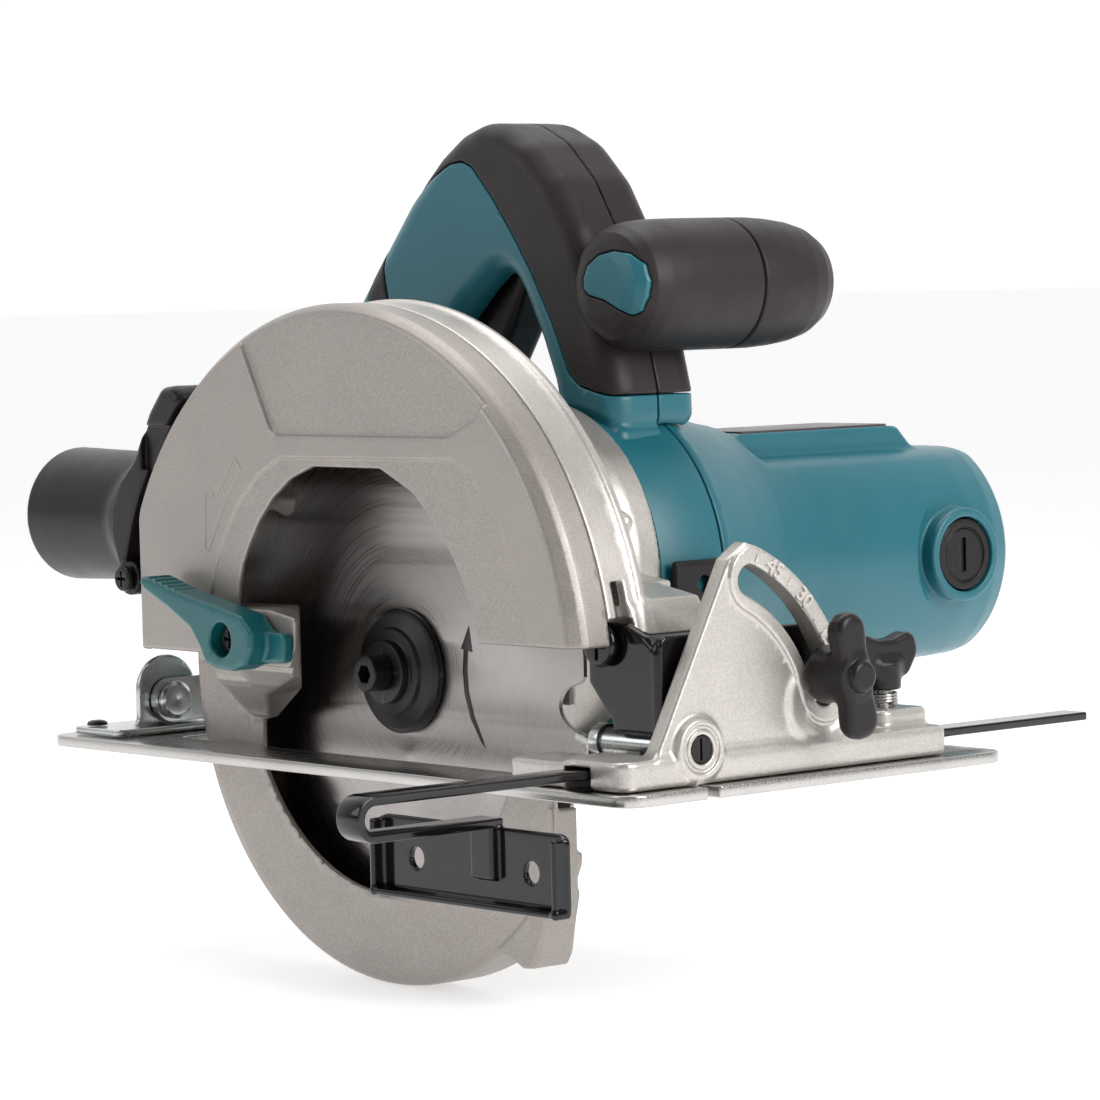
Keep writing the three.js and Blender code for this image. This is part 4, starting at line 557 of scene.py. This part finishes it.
# ------------------------------------------------------------------ dust nozzle
f = F(-161.3, -71.4, -25.4, 21.3, 44.5, 115.2, 0.5)
tube = f.lx([(0, -160.9), (20.6, -160.9), (21, -160.4), (20.9, -152), (20.4, -136), (19.9, -118), (18.4, -104), (14, -96), (0, -95.4)], -2, 70.5)
hood = f.pxz(fillet([(-95.4, 48.6), (-95.4, 79), (-73, 107.6), (-77.5, 112.2), (-85, 111.6), (-91.5, 104.5), (-98.5, 93), (-106, 82), (-108.5, 72), (-108, 54), (-103, 48.5)], 4), -24.9, 5.9, 3.5)
d = U(tube, hood, 13.0)
d = I(I(d, f.slab(1, -24.95, 21.2)), f.slab(2, 46.55, 114.45), 0.5)
d = I(d, -I(np.sqrt(f.X ** 2 + (f.Z - 28) ** 2) - 109.0, f.slab(0, -200, 0)), 0.6)
d = D(d, f.pxz([(-95, 86.5), (-95, 100), (-70, 100), (-70, 86.5)], -30, -22.6), 0.4)
d = D(d, f.lx([(0, -162), (18.9, -162), (18.4, -159.5), (17.8, -118), (15, -104), (15, -94), (0, -94)], -2, 70.5), 0.5)
d = D(d, f.box(-104, -94, -13, 0, 54, 78), 0.5)
d = U(d, f.cy(5.2, -24.9, -16, -103, 53), 1.0); d = D(d, f.cy(2, -26, -15, -103, 53))
d = I(d, f.slab(2, 42.2, 114.45))
carve("dust_nozzle_skin", f, d, BODY, BLACK, ["dust_nozzle"])
f = F(-107.2, -98.8, -28.2, -16.8, 48.8, 57.2, 0.2)
screw("dust_nozzle_screw_head", f, "y", (-103, 53), (-27.9, -25.4), 3.9, BODY, OXIDE, ["dust_nozzle_screw"], shank=(1.8, -25.5, -17))

# ------------------------------------------------------------------ other small parts, camera, lights, floor
# base plate
bx0, bx1, by0, by1, bt = BX0, BX1, BY0, BY1, BT
o_ = fillet([(bx0, by0), (bx1, by0), (bx1, -3.5, 1.0), (bx1 - 9, -3.5, 1.0), (bx1 - 9, 0.5, 1.0), (bx1, 0.5, 1.0), (bx1, by1), (bx0, by1)], 7, 8)
prism("base_plate_sheet", o_, [rrect(SX0, SX1, SY0, SY1, 3)], "xy", 0.02, bt, 0.5, "base", PLATE_M, ["base_plate"])
# front casting with its bevel quadrant
f = F(82.6, 132.6, -31.5, 94.5, 3.4, 73.4, 0.42)
p0 = bt + 0.3
foot = f.pxy(rrect(104, 131, -31, 94, 5), p0, 12, 1.6)
foot = U(foot, f.pxy(rrect(83, 112, -31, -14, 3), p0, 11, 1.4), 1.5)
foot = U(foot, f.pxy(rrect(102, 123, 74, 94, 4), 8, 17, 1.4), 1.5)
q = fillet([(-20, 8), (10.2, 64.2, 2.5)] + arc(TY, TZ, 58.6, 70, 2, 30) + [(56.5, 8, 2)], 0.4, 2)
quad = f.pyz(q, 124.2, 129.8, 1.0)
AS = arcslot(TY, TZ, 49, 4.3, 14.5, 66)
lip = I(f.pyz(arcslot(TY, TZ, 50.2, 9.4, 14.5, 64), 124.2, 131.0, 0.7), np.sqrt((f.Y - TY) ** 2 + (f.Z - TZ) ** 2) - 58.5, 0.6)
quad = D(U(quad, lip, 0.6), f.yz(AS), 0.5)
boss = f.cx(8.5, 122.4, 132, TY, TZ, 0.9)
bulge = f.cx(12.5, 124, 130.3, 43.5, 22.5, 2.0)
d = U(foot, quad, 2.2); d = U(d, I(bulge, -f.yz(arcslot(TY, TZ, 49, 8.0, 10, 70)), 1.0), 2.0); d = U(d, boss, 1.6)
d = D(d, I(f.cx(6.6, 131.35, 134, TY, TZ), -f.cx(5.4, 131, 135, TY, TZ)), 0.15)
d = D(d, f.cx(4.1, 103, 133, TY, TZ))
d = D(d, f.box(107.2, 117.6, -32, 95, p0 - 1, 9.9), 0.3); d = D(d, f.cz(3.4, 8, 20, 112.4, 85), 0.3)
d = D(d, f.box(103, 122.2, -13.5, 30, 9.4, 13)); d = D(d, f.box(103, 109, -13.5, 30, p0 - 1, 13)); d = D(d, f.box(118.3, 122.3, -12, 8, 6.2, 13))
carve("front_casting_skin", f, d, "base", CAST, ["front_casting"])
def digits(txt, y, z, rot, size, x=130.85):
    cu = bpy.data.curves.new("n" + txt, "FONT"); cu.body = txt; cu.size = size * MM; cu.extrude = 0.75 * MM; cu.align_x = "CENTER"; cu.align_y = "CENTER"; cu.resolution_u = 4; cu.offset = 0.09 * MM
    o = bpy.data.objects.new("n", cu); bpy.context.scene.collection.objects.link(o)
    me = bpy.data.meshes.new_from_object(o.evaluated_get(bpy.context.evaluated_depsgraph_get())); bpy.data.objects.remove(o)
    # the face looks along +X: text x runs along +Y, text y along +Z
    M = Matrix(((0, 0, 1, x * MM), (1, 0, 0, (y - MID) * MM), (0, 1, 0, z * MM), (0, 0, 0, 1))) @ Matrix.Rotation(math.radians(rot), 4, "Z")
    me.transform(M); o = bpy.data.objects.new("scale_" + txt, me); bpy.context.scene.collection.objects.link(o)
    place(o, "base", CAST)
for txt, ang in (("45", 58.5), ("30", 44), ("15", 29.5)):
    a = math.radians(ang); digits(txt, TY + 55.4 * math.cos(a), TZ + 55.4 * math.sin(a), ang - 90, 6.2)
for k, ang in enumerate((19, 24, 36.5, 51.5, 66)):
    a = math.radians(ang); r0, r1 = 54.2, 56.6; w = 0.35
    pr = [(TY + r0 * math.cos(a) - w * math.sin(a), TZ + r0 * math.sin(a) + w * math.cos(a)), (TY + r0 * math.cos(a) + w * math.sin(a), TZ + r0 * math.sin(a) - w * math.cos(a)), (TY + r1 * math.cos(a) + w * math.sin(a), TZ + r1 * math.sin(a) - w * math.cos(a)), (TY + r1 * math.cos(a) - w * math.sin(a), TZ + r1 * math.sin(a) + w * math.cos(a))]
    prism("scale_tick_%d" % k, pr, [], "yz", 130.6, 131.35, 0.05, "base", CAST, segs=1)
turned("bevel_pivot_shank", [(0, 129.9), (3.7, 129.9), (3.7, 94.1), (4.9, 93.9), (4.9, 90.2), (0, 90.2)], "x", (TY, TZ), "base", ZINC, ["bevel_pivot_pin"], n=48, bev=0.15)
f = F(129.8, 131.8, TY - 4, TY + 4, TZ - 4, TZ + 4, 0.12)
d = D(f.cx(3.75, 129.95, 131.5, TY, TZ, 0.4), f.box(130.7, 133, TY - 0.45, TY + 0.45, TZ - 3, TZ + 3), 0.1)
carve("bevel_pivot_head", f, d, "base", OXIDE, ["bevel_pivot_pin"])
# front bracket
f = F(89.6, 122.2, -9.4, 51.4, 9.4, 47.4, 0.33)
o_ = fillet([(92, 30, 1.5), (92, 44), (95, 47), (108, 47, 4), (116, 44, 4), (121, 40, 3), (121, 10, 1), (104, 10, 2), (101, 20, 3)], 1)
d = f.pxz(o_, -9, 26, 1.7)
d = D(d, f.pxz([(80, 5), (80, 44.6), (114, 44.6), (118.4, 40), (118.5, 5)], -6.2, 23.2, 1.0), 0.5)
d = D(d, f.box(80, 113.0, -6.3, 23.3, 44, 50), 0.8)
d = D(d, f.box(109, 122, -10, 27, 0, 10.1)); d = D(d, f.box(90, 130, -10, -6, 0, 17), 0.4); d = D(d, f.box(90, 130, 23, 27, 0, 17), 0.4)
fl = f.pyz(fillet([(-8.6, 9.9, 1), (-8.6, 44, 3), (49, 44, 2), (51, 41, 2), (51, 24, 3), (47, 21, 3), (26, 18, 6), (16, 12.8, 4), (5, 9.9, 2)], 2), 118.95, 121.85, 0.9)
d = U(d, fl, 1.0)
d = D(d, f.cx(4.1, 117, 123, TY, TZ), 0.3); d = D(d, f.cy(4.3, -10, 27, DX, DZ), 0.3); d = D(d, f.cx(3.4, 117, 123, LY, LZ), 0.3)
carve("front_tilt_bracket_skin", f, d, "bevel_frame", GLOSS, ["front_tilt_bracket"])
f = F(DX - 6.7, DX + 6.7, -12.9, -9.1, DZ - 6.7, DZ + 6.7, 0.2)
screw("depth_pivot_head", f, "y", (DX, DZ), (-12.5, -9.4), 6.3, "bevel_frame", GLOSS, ["depth_pivot_pin"], slotw=1.3, depth=1.5)
# wing bolt and thumb screw
f = F(132.2, 149.2, LY - 11.5, LY + 11.5, LZ - 19.6, LZ + 19.6, 0.3)
wing = [(LY + (a - LY) * math.cos(0.16) - (b - LZ) * math.sin(0.16), LZ + (a - LY) * math.sin(0.16) + (b - LZ) * math.cos(0.16)) for a, b in fillet([(LY - 6.3, LZ - 17.8), (LY - 4.6, LZ), (LY - 5.8, LZ + 17.8), (LY + 5.8, LZ + 17.8), (LY + 4.6, LZ), (LY + 6.3, LZ - 17.8)], 5.2)]
d = U(f.lx([(0, 132.6), (7.9, 132.6), (8.2, 134), (7.4, 140), (5.6, 145.5), (0, 145.5)], LY, LZ), f.pyz(wing, 140.2, 146.6, 2.4), 2.2)
d = U(d, f.cx(4.6, 140, 148.9, LY, LZ, 1.6), 0.8)
d = I(d, f.slab(0, 132.5, 148.95))
carve("bevel_wing_grip", f, d, "bevel_lock", BLACK, ["bevel_wing_bolt"])
turned("bevel_wing_shank", [(0, 118.6), (2.6, 118.6), (3, 119), (3, 133), (0, 133)], "x", (LY, LZ), "bevel_lock", GROUND, n=32, bev=0.1)
turned("bevel_lock_washer", [(3.1, 131.7), (7.0, 131.7), (7.0, 132.5), (3.1, 132.5)], "x", (LY, LZ), "bevel_lock", ZINC, n=48, bev=0.25, closed=True)
scx, scy = 112.4, 85.0
f = F(scx - 5.8, scx + 5.8, scy - 12.8, scy + 12.8, 21.5, 39.4, 0.28)
d = U(f.cz(5.5, 21.9, 30, scx, scy, 0.9), f.pyz(fillet([(scy - 8, 25.2), (scy + 8, 25.2), (scy + 12.4, 32, 5), (scy + 10.4, 38.8), (scy + 3, 36.4, 5), (scy - 3, 36.4, 5), (scy - 10.4, 38.8), (scy - 12.4, 32, 5)], 4), scx - 3.2, scx + 3.2, 1.5), 2.0)
carve("fence_thumb_grip", f, d, "fence_screw", BLACK, ["fence_thumb_screw"])
turned("fence_thumb_shank", [(0, 10.45), (2.6, 10.45), (3, 10.9), (3, 23), (0, 23)], "z", (scx, scy), "fence_screw", GROUND, n=32, bev=0.1)
wire("fence_spring_coil", [(scx + 4.05 * math.cos(2 * math.pi * t / 18), scy + 4.05 * math.sin(2 * math.pi * t / 18), 17.9 + (20.9 - 17.9) * t / 62.0) for t in range(63)], 0.5, "base", GROUND, ["fence_screw_spring"])
# rip fence
ub = fillet([(165.9, 9.1, 0.6), (165.9, 6.6, 0.6), (-104, 6.6, 0)] + arc(-104, 3, 3.6, 90, 270, 20)[1:] + [(-61.2, -0.6, 0.5), (-61.2, -3.1, 0.5), (-104, -3.2, 0)] + arc(-104, 3, 6.2, 270, 90, 20)[1:], 0.02, 2)
prism("rip_fence_bar", ub, [], "yz", 107.7, 117.1, 0.5, "fence", GLOSS, ["rip_fence"])
f = F(65.6, 144.4, -67.3, -60.7, -25.3, -0.3, 0.35)
d = f.pxz(rrect(66, 144, -25, -3, 3), -63, -61, 0.7)
d = U(d, f.box(66.1, 143.9, -66.9, -61.5, -24.9, -23, 0.8), 1.0); d = U(d, f.box(66.1, 68, -66.9, -61.5, -24.9, -4, 0.8), 1.0); d = U(d, f.box(142, 143.9, -66.9, -61.5, -24.9, -4, 0.8), 1.0)
d = U(d, f.box(107.7, 117.1, -65.6, -61.2, -17, -0.7, 0.9), 0.8)
for x in (82, 130): d = D(d, f.cy(3, -70, -60, x, -14), 0.4)
carve("rip_fence_guide", f, d, "fence", GLOSS, ["rip_fence"])
# rear hinge
f = F(-132.4, -106.6, -28.4, 22.4, 3.4, 28.2, 0.35)
d = f.pxy(rrect(-131.9, -107, -28, 22, 3), p0, p0 + 2.3, 0.7)
d = U(d, f.pyz(fillet([(-14, p0, 0), (-14, 14, 1)] + arc(TY, TZ + 3, 11, 180, 0, 24) + [(8, p0, 0)], 0.3, 2), -117.3, -115.05, 0.7), 2.2)
d = I(d, f.slab(2, p0, 60)); d = D(d, f.cx(3.3, -118, -114, TY, TZ), 0.3); d = D(d, f.box(-115.0, -100, -20, 14, 5.9, 30))
carve("rear_hinge_sheet", f, d, "base", ZINC, ["rear_hinge_bracket"])
for nm, x, y in (("rear_hinge_rivet_right", -125, -23), ("rear_hinge_rivet_left", -125, 16)):
    turned(nm + "_head", [(0, p0 + 2.62), (3.35, p0 + 2.62), (3.0, p0 + 3.7), (1.8, p0 + 4.15), (0, p0 + 4.2)], "z", (x, y), "base", OXIDE, [nm], n=40, bev=0.2)
turned("rear_pivot_rivet_head", [(0, -121.3), (3.2, -121.3), (4.8, -120.6), (5.35, -119.4), (5.35, -118.4), (2.95, -118.3), (2.95, -111.8), (5.9, -111.7), (5.9, -110.2), (4.6, -109.5), (0, -109.5)], "x", (TY, TZ), "base", ZINC, ["rear_pivot_rivet"], n=48, bev=0.2)
# depth lock lever, with the hole for its bolt
x, z = DX - GR, DZ
f = F(x - 46.6, x + 8.4, 34.3, 39.7, z - 8.4, z + 9.8, 0.3)
d = U(f.cy(8, 34.7, 39.3, x, z, 0.9), f.pxz(fillet([(x - 3, z - 7), (x - 3, z + 7), (x - 30, z + 9), (x - 43, z + 8), (x - 46, z + 2), (x - 42, z - 3), (x - 28, z - 5)], 3), 35.5, 38.9, 1.1), 1.0)
d = D(d, f.cy(3.4, 30, 45, x, z), 0.3)
carve("depth_lever_skin", f, d, "depth_lever", BLACK, ["depth_lock_lever"])

# ------------------------------------------------------------------ materials on the part's own nodes
SKIN = {"teal_plastic": TEAL, "lever_teal": LEVER, "black_plastic": BLACK, "soft_grip": SOFT, "silver_paint": SILVER, "cast_aluminium": CAST, "blade_steel": BLADE_M, "plate_steel": PLATE_M, "black_oxide": OXIDE, "zinc": ZINC, "gloss_black": GLOSS, "bearing_steel": GROUND, "copper": COPPER, "carbon": CARBON, "label": LABEL}
NODE_SLOT = {}
for _s, _n in (
    ("plate_steel", "base_plate"),
    ("cast_aluminium", "front_casting gear_housing bearing_box"),
    ("black_oxide", "bevel_pivot_pin rear_hinge_rivet_right rear_hinge_rivet_left depth_pivot_pin dust_nozzle_screw guard_lever_screw outer_flange blade_bolt"),
    ("zinc", "rear_hinge_bracket rear_pivot_rivet rear_tilt_bracket depth_guide"),
    ("bearing_steel", "fence_screw_spring bevel_lock_nut guard_retaining_ring guard_spring motor_bearing_front motor_bearing_rear spindle_bearing_outer spindle_bearing_inner trigger_pin depth_lock_bolt inner_flange spindle drive_gear"),
    ("gloss_black", "rip_fence front_tilt_bracket"),
    ("black_plastic", "fence_thumb_screw bevel_wing_bolt brush_cap_front brush_cap_rear fan_baffle switch_block wrench_holder dust_nozzle cooling_fan trigger lock_off_button shaft_lock_button depth_lock_lever"),
    ("silver_paint", "blade_case lower_guard"),
    ("teal_plastic", "motor_housing handle_shell_blade_side front_grip_inlay"),
    ("label", "rating_plate"),
    ("carbon", "carbon_brush_front carbon_brush_rear"),
    ("copper", "stator armature"),
    ("soft_grip", "handle_shell_motor_side front_grip front_grip_end cord_inlet"),
    ("lever_teal", "guard_lever"),
    ("blade_steel", "saw_blade"),
): NODE_SLOT.update({n: _s for n in _n.split()})
for nm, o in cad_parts.items():
    o.data.materials.clear()
    o.data.materials.append(SKIN[NODE_SLOT[nm]])

# ------------------------------------------------------------------ floor and light
def quad_mesh(name, co, mat):
    me = bpy.data.meshes.new(name); me.from_pydata(co, [], [tuple(range(len(co)))]); me.materials.append(mat)
    o = bpy.data.objects.new(name, me); scene.collection.objects.link(o); return o
FLOOR = surface("Floor", (0.84, 0.84, 0.845), 0.6, gstr=0.0, vary=0.0, rvary=0.0, spec=0.12)
fb = FLOOR.node_tree.nodes["Principled BSDF"]; fb.inputs["Emission Color"].default_value = (1, 1, 1, 1); fb.inputs["Emission Strength"].default_value = 0.50
floor = quad_mesh("floor", [(-30, -30, -0.0642), (30, -30, -0.0642), (30, 30, -0.0642), (-30, 30, -0.0642)], FLOOR)
w = bpy.data.worlds.new("studio"); scene.world = w; w.use_nodes = True
wt = w.node_tree; bg = wt.nodes["Background"]
tc = wt.nodes.new("ShaderNodeTexCoord"); dp = wt.nodes.new("ShaderNodeVectorMath"); dp.operation = "DOT_PRODUCT"; dp.inputs[1].default_value = (-0.76, 0.65, 0.0)
wt.links.new(tc.outputs["Generated"], dp.inputs[0])
mr = wt.nodes.new("ShaderNodeMapRange"); mr.interpolation_type = "SMOOTHSTEP"
for k_, v_ in ((1, -0.15), (2, 0.80), (3, 0.20), (4, 1.06)): mr.inputs[k_].default_value = v_
wt.links.new(dp.outputs["Value"], mr.inputs[0]); wt.links.new(mr.outputs[0], bg.inputs[1]); bg.inputs[0].default_value = (1.0, 1.0, 1.0, 1)
def softbox(name, loc, target, sx, sy, power, color=(1, 1, 1)):
    l = bpy.data.lights.new(name, "AREA"); l.shape = "RECTANGLE"; l.size = sx; l.size_y = sy; l.energy = power; l.color = color
    o = bpy.data.objects.new(name, l); scene.collection.objects.link(o); o.location = loc
    o.rotation_euler = (Vector(target) - Vector(loc)).to_track_quat("-Z", "Y").to_euler()
    return o
softbox("key_right", (1.30, 0.25, 0.75), (0.05, 0, 0.05), 0.8, 0.9, 16.5, (1.0, 0.99, 0.97))
softbox("top", (-0.25, 0.05, 1.25), (0, 0, 0), 1.3, 0.9, 8.0)
softbox("front_fill", (-0.55, -1.25, 0.65), (0, 0, 0.03), 0.9, 0.6, 3.6, (0.98, 0.99, 1.0))

# ------------------------------------------------------------------ camera
az, el, roll = math.radians(49.49), math.radians(3.48), math.radians(-1.39)
back = Vector((math.sin(az) * math.cos(el), -math.cos(az) * math.cos(el), math.sin(el)))
right = (-back).cross(Vector((0, 0, 1))).normalized(); up = right.cross(-back)
r2 = right * math.cos(roll) + up * math.sin(roll); u2 = -right * math.sin(roll) + up * math.cos(roll)
cam = bpy.data.cameras.new("camera"); cam.lens = 146.24; cam.sensor_width = 36; cam.sensor_fit = "HORIZONTAL"; cam.clip_start = 0.05; cam.clip_end = 50
co = bpy.data.objects.new("camera", cam); scene.collection.objects.link(co)
co.matrix_world = Matrix(((r2.x, u2.x, back.x, 1.0210), (r2.y, u2.y, back.y, -0.8551), (r2.z, u2.z, back.z, 0.1417), (0, 0, 0, 1)))
scene.camera = co
scene.view_settings.view_transform = "Standard"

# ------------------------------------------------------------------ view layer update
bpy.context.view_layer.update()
